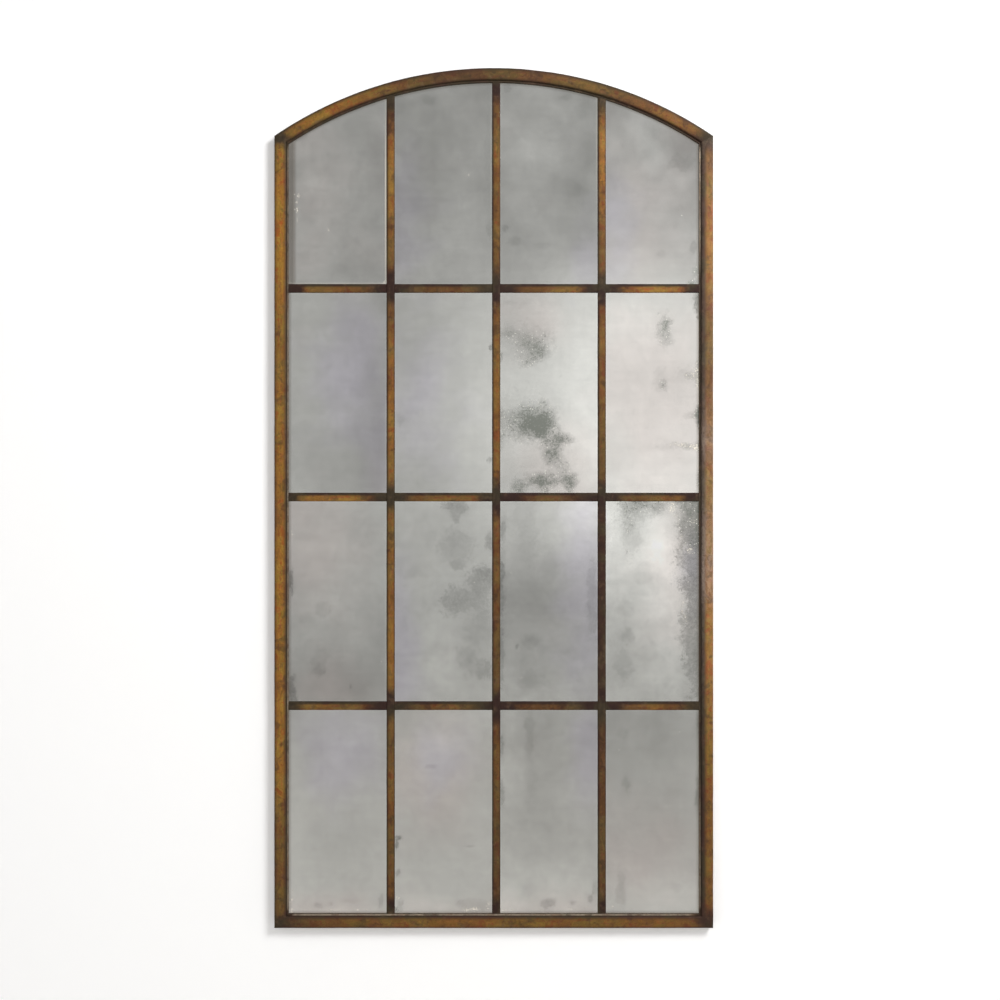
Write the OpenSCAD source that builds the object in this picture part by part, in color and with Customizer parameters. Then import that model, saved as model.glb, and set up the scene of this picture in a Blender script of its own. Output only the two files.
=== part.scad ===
// Arched window-pane mirror: sixteen antiqued mirror panes in a welded steel frame.
// Millimetres. X runs to the viewer's right, Z up, and the front faces -Y.
// The origin is the bottom centre of the whole mirror, halfway through its depth.

/* [Overall size] */
// Width over the two stiles
frame_w = 1067; // [800:1:1400]
// Height from the base to the corner where stile and arch meet
side_h = 1926; // [1750:1:2400]
// Rise of the arch above that corner
arch_rise = 165; // [90:1:260]

/* [Frame tube] */
// Width of the tube's front face
tube_face = 29; // [26:0.5:45]
// Wall of the tube
tube_wall = 1.5; // [1:0.1:2.5]
// Outside radius of the tube's corners
tube_corner_r = 3; // [2:0.1:5]

/* [Inner lip] */
// Width of the flat lip that shows inside the frame
lip_w = 5; // [3:0.5:12]
// How far the lips and glazing bars lie behind the frame's front face
lip_setback = 6; // [2:0.5:12]

/* [Glazing bars] */
// Thickness of the lips and glazing bars
bar_t = 4; // [3:0.5:6]
// Width of the upright bars
bar_w = 20; // [12:0.5:30]
// Width of the crossbars
crossbar_w = 21; // [12:0.5:30]
// Radius along the front edges of the bars
bar_edge_r = 1.5; // [0.5:0.1:2.5]
// Distance between the centres of the upright bars
col_pitch = 257; // [200:1:300]
// How far the upright bars are set to the right of centre, by hand
bars_shift = 6; // [-20:0.5:20]
// Height of the lowest crossbar's centre above the base
first_crossbar_h = 540; // [400:1:600]
// Distance between the centres of the crossbars
row_pitch = 508; // [420:1:560]

/* [Mirror panes] */
// Thickness of the mirror glass
glass_t = 3; // [2:0.5:6]
// Gap between two panes behind a glazing bar
pane_gap = 3; // [1:0.5:8]
// Gap between a pane and the inside of the frame
pane_edge_gap = 1; // [0.5:0.1:2.5]

/* [Backing] */
// Thickness of the foam tape between panes and board
tape_t = 2; // [1:0.5:4]
// Width of a strip of tape
tape_w = 19; // [8:1:30]
// From a pane's side edge to the near edge of its tape
tape_inset = 22; // [10:1:60]
// From a pane's top and bottom edges to the ends of its tape
tape_end = 24; // [8:1:60]
// Thickness of the backing board
board_t = 5; // [3:0.5:9]
// Gap between the board and the inside of the frame
board_gap = 1.5; // [0.5:0.1:4]

/* [Board clips] */
// Length of a clip, across the joint between frame and board
clip_len = 36; // [30:1:50]
// Width of a clip
clip_w = 14; // [12:1:24]
// Thickness of a clip
clip_t = 1.5; // [1:0.1:2.5]
// Height of the lowest side clips above the base, and drop of the highest below the corner
clip_end_h = 180; // [100:1:300]
// Distance of the outer bottom clips from the middle of the rail
clip_reach = 340; // [200:1:350]
// Angle between neighbouring clips on the arch
clip_angle = 13; // [8:0.5:14]

/* [Screws] */
// Diameter of a screw's shank
screw_d = 4; // [3:0.1:5]
// Length of a screw's shank
screw_len = 10; // [6:0.5:14]
// Diameter of a screw's head
screw_head_d = 8; // [6.5:0.1:10]
// Height of a screw's head
screw_head_h = 2.4; // [1.5:0.1:3.5]
// Gap all round the shank in its hole
screw_play = 0.05; // [0.02:0.01:0.1]
// Length of the cross cut in the head
cross_len = 4.4; // [3:0.1:5]
// Width of the cross's slots
cross_slot = 1; // [0.6:0.1:1.4]
// Height of the cross's floor above the head's seat
cross_floor = 1; // [0.5:0.1:1.2]

/* [Hangers] */
// Height of the ring's hinge line above the base
hang_h = 1500; // [1300:1:1600]
// Thickness of the hanger plate
plate_t = 1.6; // [1.2:0.1:2]
// Width of the hanger plate and its knuckle
plate_w = 16; // [12:0.5:16]
// Length of the plate below the hinge line
plate_len = 62; // [56:1:90]
// From the hinge line to the upper screw
plate_screw_1 = 34; // [32:0.5:38]
// From the upper screw to the lower one
plate_screw_pitch = 18; // [10:0.5:18]
// Diameter of the ring's wire
wire_d = 4; // [3:0.1:4.5]
// Half the ring's width, to the middle of its wire
ring_half_w = 12; // [11:0.5:12]
// Radius of the ring's upper corners, to the middle of the wire
ring_corner_r = 3.5; // [2.5:0.1:3.5]
// Length of the ring's straight sides
ring_side = 7; // [4:0.5:8]
// Gap between the hanging ring and the plate behind it
ring_gap = 0.3; // [0.2:0.1:0.6]
// Gap all round the wire in its knuckle
knuckle_play = 0.08; // [0.03:0.01:0.1]

/* [Wall pads] */
// Diameter of a pad
pad_d = 22; // [14:1:26]
// Thickness of a pad, which holds the frame off the wall
pad_t = 8; // [7:0.5:14]
// Radius of the pad's rounded rim
pad_rim_r = 1.5; // [0.5:0.1:3]
// Height of the lower pads' centres above the base
pad_low_h = 60; // [40:1:120]
// Distance of the upper pads' centres below the arch corner
pad_high_drop = 70; // [50:1:120]

/* [Hidden] */

// Columns and rows of panes. Row 1 is the arched top row, column 1 the left one.
COLS = 4;
ROWS = 4;

// Fineness of the great arcs, and of the small round parts
ARC_FN = 360;
SMALL_FN = 48;

// The depth is a stack from the front: setback, bar, glass, tape, board, pads
tube_depth = lip_setback + bar_t + glass_t + tape_t + board_t;
front_y = -(tube_depth + pad_t) / 2;
bar_front_y = front_y + lip_setback;
glass_front_y = bar_front_y + bar_t;
tape_front_y = glass_front_y + glass_t;
board_front_y = tape_front_y + tape_t;
frame_back_y = front_y + tube_depth;
wall_y = frame_back_y + pad_t;
tube_mid_y = (front_y + frame_back_y) / 2;

// The arch is one circular arc through both corners
half_w = frame_w / 2;
arch_r = (half_w * half_w + arch_rise * arch_rise) / (2 * arch_rise);
arch_z = side_h + arch_rise - arch_r;
inner_half_w = half_w - tube_face;
inner_r = arch_r - tube_face;

// The joint between stile and arch runs through the outer and the inner corner
inner_corner_z = arch_height(inner_r, inner_half_w);
mitre_slope = (side_h - inner_corner_z) / tube_face;
// How far the cutting shapes run past the tubes, and the small holes past their plates
past = 20;
hole_past = 1;
// The arch is swept this many degrees further than its corners before it is cut
sweep_past = 4;
// Least radius inside the tube's corners
least_r = 0.4;

// Height of an arc of radius r about the arch's centre, at a distance x from the middle
function arch_height(r, x) = arch_z + sqrt(r * r - x * x);
// Centre of upright bar k, counted 1 to 3 from the left
function bar_x(k) = bars_shift + (k - COLS / 2) * col_pitch;
// Centre of crossbar k, counted 1 to 3 from the top
function crossbar_z(k) = first_crossbar_h + (ROWS - 1 - k) * row_pitch;
// Height of the joint line between stile and arch at a distance x from the middle
function mitre_z(x) = side_h - (half_w - x) * mitre_slope;

// Sides of a pane: under a bar it ends at the gap, elsewhere at the frame
function pane_x0(c) = c == 1 ? -inner_half_w + pane_edge_gap : bar_x(c - 1) + pane_gap / 2;
function pane_x1(c) = c == COLS ? inner_half_w - pane_edge_gap : bar_x(c) - pane_gap / 2;
function pane_z0(r) = r == ROWS ? tube_face + pane_edge_gap : crossbar_z(r) + pane_gap / 2;
function pane_z1(r) = r == 1 ? side_h + arch_rise : crossbar_z(r - 1) - pane_gap / 2;
pane_arc_r = inner_r - pane_edge_gap;

// Ends of a crossbar: the sides of the uprights, or the edge of a lip
function crossbar_x0(c) = c == 1 ? -inner_half_w + lip_w : bar_x(c - 1) + bar_w / 2;
function crossbar_x1(c) = c == COLS ? inner_half_w - lip_w : bar_x(c) - bar_w / 2;

// Places of the clips: [x, z, turn], where the turn points the clip at the board
SIDE_CLIPS = 4;
BOTTOM_CLIPS = 3;
ARCH_CLIPS = 5;
side_clip_step = (side_h - 2 * clip_end_h) / (SIDE_CLIPS - 1);
CLIP_PLACES = concat(
    [for (i = [0 : SIDE_CLIPS - 1]) [-inner_half_w, clip_end_h + i * side_clip_step, 0]],
    [for (i = [0 : SIDE_CLIPS - 1]) [inner_half_w, clip_end_h + i * side_clip_step, 180]],
    [for (i = [0 : BOTTOM_CLIPS - 1])
        [(i - (BOTTOM_CLIPS - 1) / 2) * clip_reach, tube_face, -90]],
    [for (i = [0 : ARCH_CLIPS - 1])
        let (a = (i - (ARCH_CLIPS - 1) / 2) * clip_angle)
        [inner_r * sin(a), arch_z + inner_r * cos(a), 90 + a]]
);

// The hanger's hinge line lies over the middle of the stile
hanger_x = half_w - tube_face / 2;
wire_r = wire_d / 2;
hinge_off = plate_t + ring_gap + wire_r;
hinge_y = frame_back_y + hinge_off;
knuckle_bore_r = wire_r + knuckle_play;
knuckle_r = knuckle_bore_r + plate_t;
plate_screw_drops = [plate_screw_1, plate_screw_1 + plate_screw_pitch];

// Helpers

// A flat shape drawn in X and Z, made solid from y0 back to y1
module slab(y0, y1) {
    translate([0, y1, 0]) rotate([90, 0, 0]) linear_extrude(height = y1 - y0) children();
}

// A section drawn across X and Y, run up from z0 to z1
module run_up(z0, z1) {
    translate([0, 0, z0]) linear_extrude(height = z1 - z0) children();
}

// The same section turned to run along X
module run_along(x0, x1) {
    translate([x0, 0, 0]) rotate([0, 90, 0]) linear_extrude(height = x1 - x0) children();
}

// The same section, drawn at its radius, swept round the arch's centre
module run_round() {
    sweep = asin(half_w / arch_r) + sweep_past;
    translate([0, 0, arch_z]) rotate([-90, 0, 0]) rotate([0, 0, -90 - sweep])
        rotate_extrude(angle = 2 * sweep, $fn = ARC_FN) children();
}

// Flat outline of everything below an arc of radius r about the arch's centre
module under_arc(r) {
    translate([0, arch_z]) circle(r = r, $fn = ARC_FN);
    translate([-r, -past]) square([2 * r, max(arch_z, 0) + past]);
}

module rounded_rect(w, h, r) {
    square([w - 2 * r, h], center = true);
    square([w, h - 2 * r], center = true);
    for (sx = [-1, 1], sy = [-1, 1])
        translate([sx * (w / 2 - r), sy * (h / 2 - r)]) circle(r = r, $fn = SMALL_FN);
}

module tube_section() {
    translate([0, tube_mid_y]) difference() {
        rounded_rect(tube_face, tube_depth, tube_corner_r);
        rounded_rect(tube_face - 2 * tube_wall, tube_depth - 2 * tube_wall,
                     max(tube_corner_r - tube_wall, least_r));
    }
}

// Flat bar with its two front edges rounded
module bar_section(w) {
    translate([-w / 2, bar_front_y + bar_edge_r]) square([w, bar_t - bar_edge_r]);
    translate([-w / 2 + bar_edge_r, bar_front_y]) square([w - 2 * bar_edge_r, 2 * bar_edge_r]);
    for (s = [-1, 1])
        translate([s * (w / 2 - bar_edge_r), bar_front_y + bar_edge_r])
            circle(r = bar_edge_r, $fn = SMALL_FN);
}

module lip_section() {
    translate([-lip_w / 2, bar_front_y]) square([lip_w, bar_t]);
}

// Everything above the two joints between stiles and arch
module arch_zone() {
    xo = half_w + past;
    xi = inner_half_w - 2 * past;
    slab(front_y - past, wall_y + past)
        polygon([[-xo, mitre_z(xo)], [-xi, mitre_z(xi)], [xi, mitre_z(xi)], [xo, mitre_z(xo)],
                 [xo, side_h + arch_rise + past], [-xo, side_h + arch_rise + past]]);
}

// Everything below the 45 degree joints at the bottom corners
module bottom_zone() {
    up = tube_face + past;
    slab(front_y - past, wall_y + past)
        polygon([[-half_w - past, -past], [half_w + past, -past],
                 [half_w - up, up], [-half_w + up, up]]);
}

// Puts its children at each clip, X pointing at the board
module at_clips() {
    for (p = CLIP_PLACES) translate([p[0], 0, p[1]]) rotate([0, p[2], 0]) children();
}

// Puts its children on a stile's back at the hinge line: side is -1 left, 1 right
module at_hanger(side) {
    translate([side * hanger_x, 0, hang_h]) children();
}

// Shank hole through whatever lies between y0 and y1
module screw_hole(y0, y1) {
    slab(y0, y1) circle(r = screw_d / 2 + screw_play, $fn = SMALL_FN);
}

// Pan-head screw seated on y, its shank towards the front, with a cross in its head.
// The dome is part of a sphere whose radius is the head's diameter.
module pan_screw(y) {
    head_y = y + screw_head_h;
    difference() {
        union() {
            slab(y - screw_len, y + cross_floor) circle(d = screw_d, $fn = SMALL_FN);
            intersection() {
                slab(y, head_y) circle(d = screw_head_d, $fn = SMALL_FN);
                translate([0, head_y - screw_head_d, 0])
                    sphere(r = screw_head_d, $fn = 2 * SMALL_FN);
            }
        }
        slab(y + cross_floor, head_y + hole_past) {
            square([cross_len, cross_slot], center = true);
            square([cross_slot, cross_len], center = true);
        }
    }
}

// Holes in the tubes' back walls for the clip and hanger screws
module back_holes() {
    y0 = frame_back_y - tube_wall - hole_past;
    y1 = frame_back_y + hole_past;
    at_clips() translate([-tube_face / 2, 0, 0]) screw_hole(y0, y1);
    for (side = [-1, 1], d = plate_screw_drops)
        at_hanger(side) translate([0, 0, -d]) screw_hole(y0, y1);
}

// Frame

module stile(side) {
    color("#7d5c33") difference() {
        translate([side * (half_w - tube_face / 2), 0, 0]) run_up(0, side_h) tube_section();
        arch_zone();
        bottom_zone();
        back_holes();
    }
}

module bottom_rail() {
    color("#76562f") difference() {
        intersection() {
            translate([0, 0, tube_face / 2]) run_along(-half_w, half_w) tube_section();
            bottom_zone();
        }
        back_holes();
    }
}

module arch_rail() {
    color("#82603a") difference() {
        intersection() {
            run_round() translate([arch_r - tube_face / 2, 0]) tube_section();
            arch_zone();
        }
        back_holes();
    }
}

// Lips welded inside the frame, flush with the glazing bars

module side_lip(side) {
    color("#6b5032") difference() {
        translate([side * (inner_half_w - lip_w / 2), 0, 0]) run_up(0, side_h) lip_section();
        arch_zone();
        bottom_zone();
    }
}

module bottom_lip() {
    color("#6b5032") intersection() {
        translate([0, 0, tube_face + lip_w / 2]) run_along(-inner_half_w, inner_half_w)
            lip_section();
        bottom_zone();
    }
}

module arch_lip() {
    color("#6b5032") intersection() {
        run_round() translate([inner_r - lip_w / 2, 0]) lip_section();
        arch_zone();
    }
}

// Glazing bars: three uprights run the full height, the crossbars butt against them

module upright_bar(k) {
    color("#7a5a35") intersection() {
        translate([bar_x(k), 0, 0]) run_up(tube_face + lip_w, side_h + arch_rise)
            bar_section(bar_w);
        slab(bar_front_y - past, wall_y) under_arc(inner_r - lip_w);
    }
}

module crossbar(r, c) {
    color("#745533") translate([0, 0, crossbar_z(r)])
        run_along(crossbar_x0(c), crossbar_x1(c)) bar_section(crossbar_w);
}

// Mirror panes, laid against the backs of the lips and bars

module pane(r, c) {
    color("#a9a7a3") slab(glass_front_y, glass_front_y + glass_t) intersection() {
        translate([pane_x0(c), pane_z0(r)])
            square([pane_x1(c) - pane_x0(c), pane_z1(r) - pane_z0(r)]);
        under_arc(pane_arc_r);
    }
}

// Two strips of foam tape hold each pane to the board
module foam_tape() {
    color("#e4e2dc") for (r = [1 : ROWS], c = [1 : COLS])
        for (x0 = [pane_x0(c) + tape_inset, pane_x1(c) - tape_inset - tape_w]) {
            far_x = max(abs(x0), abs(x0 + tape_w));
            top_z = r == 1 ? arch_height(pane_arc_r, far_x) : pane_z1(r);
            slab(tape_front_y, board_front_y) translate([x0, pane_z0(r) + tape_end])
                square([tape_w, top_z - pane_z0(r) - 2 * tape_end]);
        }
}

module backing_board() {
    x = inner_half_w - board_gap;
    z0 = tube_face + board_gap;
    color("#a98a62") slab(board_front_y, frame_back_y) intersection() {
        translate([-x, z0]) square([2 * x, side_h + arch_rise - z0]);
        under_arc(inner_r - board_gap);
    }
}

// Clips screwed to the frame's back hold the board in

module board_clips() {
    end_r = clip_w / 2;
    color("#8f9194") at_clips() difference() {
        slab(frame_back_y, frame_back_y + clip_t) {
            translate([-tube_face / 2, -end_r]) square([clip_len - 2 * end_r, clip_w]);
            for (x = [0, clip_len - 2 * end_r])
                translate([x - tube_face / 2, 0]) circle(r = end_r, $fn = SMALL_FN);
        }
        translate([-tube_face / 2, 0, 0])
            screw_hole(frame_back_y - hole_past, frame_back_y + clip_t + hole_past);
    }
}

module clip_screws() {
    color("#9b9ca0") at_clips() translate([-tube_face / 2, 0, 0])
        pan_screw(frame_back_y + clip_t);
}

// Hangers: a plate with a rolled knuckle, and a D-shaped ring that swings in it

module hanger_plate(side) {
    foot_r = plate_w / 2;
    color("#a9a294") at_hanger(side) difference() {
        union() {
            slab(frame_back_y, frame_back_y + plate_t) {
                translate([-foot_r, foot_r - plate_len]) square([plate_w, plate_len - foot_r]);
                translate([0, foot_r - plate_len]) circle(r = foot_r, $fn = SMALL_FN);
            }
            run_along(-foot_r, foot_r) translate([0, hinge_y]) circle(r = knuckle_r, $fn = SMALL_FN);
            slab(frame_back_y, hinge_y) translate([-foot_r, -knuckle_r]) square([plate_w, knuckle_r]);
        }
        run_along(-plate_w, plate_w) translate([0, hinge_y])
            circle(r = knuckle_bore_r, $fn = SMALL_FN);
        for (d = plate_screw_drops) translate([0, 0, -d])
            screw_hole(frame_back_y - hole_past, frame_back_y + plate_t + hole_past);
    }
}

// Quarter or half turn of the ring's wire about a centre in X and Z
module wire_bend(x, z, r, start, turn) {
    translate([x, hinge_y, z]) rotate([90, 0, 0]) rotate([0, 0, start])
        rotate_extrude(angle = turn, $fn = 2 * SMALL_FN) translate([r, 0])
            circle(r = wire_r, $fn = SMALL_FN);
}

module hanger_ring(side) {
    corner_x = ring_half_w - ring_corner_r;
    bow_z = -ring_corner_r - ring_side;
    color("#b3ab9b") at_hanger(side) {
        run_along(-corner_x, corner_x) translate([0, hinge_y]) circle(r = wire_r, $fn = SMALL_FN);
        wire_bend(corner_x, -ring_corner_r, ring_corner_r, 0, 90);
        wire_bend(-corner_x, -ring_corner_r, ring_corner_r, 90, 90);
        for (s = [-1, 1]) run_up(bow_z, -ring_corner_r)
            translate([s * ring_half_w, hinge_y]) circle(r = wire_r, $fn = SMALL_FN);
        wire_bend(0, bow_z, ring_half_w, 180, 180);
    }
}

module hanger_screws() {
    color("#9b9ca0") for (side = [-1, 1], d = plate_screw_drops)
        at_hanger(side) translate([0, 0, -d]) pan_screw(frame_back_y + plate_t);
}

// Rubber pads keep the frame off the wall and leave room for the rings
module wall_pads() {
    pad_r = pad_d / 2;
    color("#2b2a29") for (side = [-1, 1], z = [pad_low_h, side_h - pad_high_drop])
        translate([side * hanger_x, frame_back_y, z]) rotate([-90, 0, 0])
            rotate_extrude($fn = SMALL_FN) {
                square([pad_r, pad_t - pad_rim_r]);
                square([pad_r - pad_rim_r, pad_t]);
                translate([pad_r - pad_rim_r, pad_t - pad_rim_r]) intersection() {
                    circle(r = pad_rim_r, $fn = SMALL_FN);
                    square(pad_rim_r);
                }
            }
}

stile(-1);  // left_stile
stile(1);  // right_stile
bottom_rail();
arch_rail();
side_lip(-1);  // left_lip
side_lip(1);  // right_lip
bottom_lip();
arch_lip();
upright_bar(1);  // upright_bar_left
upright_bar(2);  // upright_bar_middle
upright_bar(3);  // upright_bar_right
crossbar(1, 1);  // crossbar_row1_col1
crossbar(1, 2);  // crossbar_row1_col2
crossbar(1, 3);  // crossbar_row1_col3
crossbar(1, 4);  // crossbar_row1_col4
crossbar(2, 1);  // crossbar_row2_col1
crossbar(2, 2);  // crossbar_row2_col2
crossbar(2, 3);  // crossbar_row2_col3
crossbar(2, 4);  // crossbar_row2_col4
crossbar(3, 1);  // crossbar_row3_col1
crossbar(3, 2);  // crossbar_row3_col2
crossbar(3, 3);  // crossbar_row3_col3
crossbar(3, 4);  // crossbar_row3_col4
pane(1, 1);  // pane_row1_col1
pane(1, 2);  // pane_row1_col2
pane(1, 3);  // pane_row1_col3
pane(1, 4);  // pane_row1_col4
pane(2, 1);  // pane_row2_col1
pane(2, 2);  // pane_row2_col2
pane(2, 3);  // pane_row2_col3
pane(2, 4);  // pane_row2_col4
pane(3, 1);  // pane_row3_col1
pane(3, 2);  // pane_row3_col2
pane(3, 3);  // pane_row3_col3
pane(3, 4);  // pane_row3_col4
pane(4, 1);  // pane_row4_col1
pane(4, 2);  // pane_row4_col2
pane(4, 3);  // pane_row4_col3
pane(4, 4);  // pane_row4_col4
foam_tape();
backing_board();
board_clips();
clip_screws();
hanger_plate(-1);  // hanger_plate_left
hanger_plate(1);  // hanger_plate_right
hanger_ring(-1);  // hanger_ring_left
hanger_ring(1);  // hanger_ring_right
hanger_screws();
wall_pads();
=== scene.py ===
# An arched window-pane mirror: antiqued mirror panes behind glazing bars in a patinated steel
# frame, hung on a white wall. Metres, X to the right, Z up, and the front faces -Y.
import math

import bmesh
import bpy
import numpy as np
from mathutils import Matrix, Vector


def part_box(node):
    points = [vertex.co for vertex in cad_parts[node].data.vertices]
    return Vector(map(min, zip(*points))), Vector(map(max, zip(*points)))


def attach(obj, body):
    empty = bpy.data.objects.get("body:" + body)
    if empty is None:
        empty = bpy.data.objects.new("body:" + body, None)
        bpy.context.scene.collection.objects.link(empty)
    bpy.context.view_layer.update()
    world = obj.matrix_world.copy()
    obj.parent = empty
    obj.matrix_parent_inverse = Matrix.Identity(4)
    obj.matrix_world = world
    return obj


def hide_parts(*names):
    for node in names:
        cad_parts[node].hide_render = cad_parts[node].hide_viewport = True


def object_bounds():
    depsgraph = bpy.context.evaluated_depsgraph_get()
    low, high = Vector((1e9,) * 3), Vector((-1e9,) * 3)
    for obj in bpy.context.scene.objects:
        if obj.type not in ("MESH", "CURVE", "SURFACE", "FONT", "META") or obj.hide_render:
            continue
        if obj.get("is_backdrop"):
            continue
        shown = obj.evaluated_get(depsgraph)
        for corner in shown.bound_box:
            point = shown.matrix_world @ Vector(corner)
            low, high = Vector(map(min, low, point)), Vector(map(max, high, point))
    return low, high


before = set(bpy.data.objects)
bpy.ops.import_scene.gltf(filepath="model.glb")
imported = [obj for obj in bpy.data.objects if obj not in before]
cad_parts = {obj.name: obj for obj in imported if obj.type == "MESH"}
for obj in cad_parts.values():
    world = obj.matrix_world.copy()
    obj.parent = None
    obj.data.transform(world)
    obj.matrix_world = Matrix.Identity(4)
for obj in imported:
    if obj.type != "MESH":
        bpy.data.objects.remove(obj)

cad_low, cad_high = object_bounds()


# The room: a white wall that the mirror hangs on and a pale floor below its base.
# The wall is painted plaster. It is seen through from behind, so the mirror's back shows.


class Wire:
    """An output of a node. Arithmetic with it adds the maths nodes that work it out."""

    def __init__(self, node, output=0):
        self.node = node
        self.output = output
        self.tree = node.id_data

    def __getitem__(self, output):
        return Wire(self.node, output)

    def __iter__(self):
        return (Wire(self.node, output) for output in range(len(self.node.outputs)))

    def step(self, operation, *values):
        """One maths node that starts from this value."""
        return put(self.tree, "ShaderNodeMath", dict(enumerate((self, *values))), operation=operation)

    def __add__(self, other):
        return self.step("ADD", other)

    def __sub__(self, other):
        return self.step("SUBTRACT", other)

    def __rsub__(self, other):
        return put(self.tree, "ShaderNodeMath", {0: other, 1: self}, operation="SUBTRACT")

    def __mul__(self, other):
        return self.step("MULTIPLY", other)

    def __truediv__(self, other):
        return self.step("DIVIDE", other)

    def __mod__(self, other):
        return self.step("MODULO", other)

    def __gt__(self, other):
        return self.step("GREATER_THAN", other)

    def __abs__(self):
        return self.step("ABSOLUTE")


def put(tree, kind, sockets=None, **settings):
    """Adds a node to a tree. A socket takes a plain value, or a wire from another node."""
    node = tree.nodes.new(kind)
    for key, value in settings.items():
        setattr(node, key, value)
    for key, value in (sockets or {}).items():
        if isinstance(value, Wire):
            tree.links.new(value.node.outputs[value.output], node.inputs[key])
        else:
            node.inputs[key].default_value = value
    return Wire(node)


def mixed(share, first, second):
    """Mixes two colours by a share of the second."""
    return put(share.tree, "ShaderNodeMix", {0: share, 6: first, 7: second}, data_type="RGBA")[2]


def noise(place, scale, detail=3.0, roughness=0.5, distortion=0.0):
    """Smooth noise from 0 to 1. Scale counts its lumps in a metre."""
    sockets = {"Vector": place, "Scale": scale, "Detail": detail, "Roughness": roughness,
               "Distortion": distortion}
    return put(place.tree, "ShaderNodeTexNoise", sockets)["Fac"]


def paint(red, green, blue):
    """A colour as it looks on a screen, 0 to 255, as the linear values that Blender takes."""
    parts = [c / 255 for c in (red, green, blue)]
    linear = [c / 12.92 if c <= 0.04045 else ((c + 0.055) / 1.055) ** 2.4 for c in parts]
    return (*linear, 1.0)


def new_material(name):
    """An empty node material, and its tree."""
    material = bpy.data.materials.new(name)
    material.use_nodes = True
    material.node_tree.nodes.clear()
    return material, material.node_tree


def placed(name, data):
    """A new object in the scene."""
    thing = bpy.data.objects.new(name, data)
    bpy.context.scene.collection.objects.link(thing)
    return thing


def flat_sheet(name, corners, material):
    """A stage surface of one face."""
    mesh = bpy.data.meshes.new(name)
    mesh.from_pydata(corners, [], [(0, 1, 2, 3)])
    mesh.materials.append(material)
    sheet = placed(name, mesh)
    sheet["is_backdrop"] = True
    return sheet


wall_colour = paint(249, 249, 249)
wall_lift = 0.15                      # what the wall adds for the eye, so that it shows as white
wall_gap = 0.0003
wall_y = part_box("wall_pads")[1].y + wall_gap
room_half = 7.0
room_top = 4.5
floor_z = -0.34                       # the mirror hangs this far above the floor
floor_pale = paint(203, 201, 198)
floor_grey = paint(198, 196, 194)

wall_plaster, tree = new_material("wall_plaster")
ray = put(tree, "ShaderNodeLightPath")
shown = ray["Is Camera Ray"].step("MAXIMUM", ray["Is Glossy Ray"].step("MAXIMUM", ray["Is Transmission Ray"]))
matt = put(tree, "ShaderNodeBsdfDiffuse", {"Color": wall_colour})
glow = put(tree, "ShaderNodeEmission", {"Strength": shown * wall_lift})
front = put(tree, "ShaderNodeAddShader", {0: matt, 1: glow})
clear = put(tree, "ShaderNodeBsdfTransparent")
behind = put(tree, "ShaderNodeNewGeometry")["Backfacing"]
sided = put(tree, "ShaderNodeMixShader", {0: behind, 1: front, 2: clear})
put(tree, "ShaderNodeOutputMaterial", {"Surface": sided})
wall = flat_sheet("wall", [(-room_half, wall_y, floor_z), (room_half, wall_y, floor_z),
                           (room_half, wall_y, room_top), (-room_half, wall_y, room_top)], wall_plaster)
wall.visible_shadow = False
wall.visible_diffuse = False

floor_screed, tree = new_material("floor_screed")
cloudy = noise(put(tree, "ShaderNodeTexCoord")["Object"], 2.0, 4.0)
matt = put(tree, "ShaderNodeBsdfDiffuse", {"Color": mixed(cloudy, floor_pale, floor_grey)})
put(tree, "ShaderNodeOutputMaterial", {"Surface": matt})
flat_sheet("floor", [(-room_half, -room_half, floor_z), (room_half, -room_half, floor_z),
                     (room_half, room_half, floor_z), (-room_half, room_half, floor_z)], floor_screed)


# The light: one large soft lamp high on the right, a weak one on the left, one behind for the
# mirror's back, and a pale room all round with a soft bright window beyond the viewer's right.
# The panes show that window.
middle = (cad_low + cad_high) / 2


def ramp(value, low, high, start=0.0, end=1.0):
    """Turns low to high into start to end, eased at both ends."""
    sockets = {0: value, 1: low, 2: high, 3: start, 4: end}
    return put(value.tree, "ShaderNodeMapRange", sockets, interpolation_type="SMOOTHSTEP")


def soft_lamp(name, place, size, power):
    """A square lamp that faces the mirror's middle."""
    light = bpy.data.lights.new(name, "AREA")
    light.size = size
    light.energy = power
    lamp = placed(name, light)
    lamp.location = place
    lamp.rotation_mode = "QUATERNION"
    lamp.rotation_quaternion = (middle - Vector(place)).to_track_quat("-Z", "Y")


soft_lamp("lamp_right", (2.6, -3.2, 3.4), 1.5, 175)
soft_lamp("lamp_left", (-3.4, -2.6, 1.6), 2.0, 12)
soft_lamp("lamp_behind", (-1.8, 3.4, 3.0), 1.8, 120)

room_low = 0.40                       # how bright the room is low down, and high up
room_high = 0.47
room_white = (1.0, 0.99, 0.975, 1.0)
window_ahead = Vector((0.365, -3.6, 0.19)).normalized()
window_glow = 0.85
window_reach = math.radians(9.5)      # from the window's middle to where its glow ends

world = bpy.data.worlds.new("room")
world.use_nodes = True
tree = world.node_tree
tree.nodes.clear()
way = put(tree, "ShaderNodeTexCoord")["Generated"]
level = ramp(put(tree, "ShaderNodeSeparateXYZ", {0: way})["Z"], -0.6, 0.8, room_low, room_high)
toward = put(tree, "ShaderNodeVectorMath", {0: way, 1: window_ahead}, operation="DOT_PRODUCT")["Value"]
window = ramp(toward, math.cos(window_reach), 1.0, 0.0, window_glow)
unseen = 1.0 - put(tree, "ShaderNodeLightPath")["Is Camera Ray"]
sky = put(tree, "ShaderNodeBackground", {"Color": room_white, "Strength": level + window * unseen})
put(tree, "ShaderNodeOutputWorld", {"Surface": sky})
bpy.context.scene.world = world
bpy.context.scene.view_settings.view_transform = "Standard"


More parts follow.
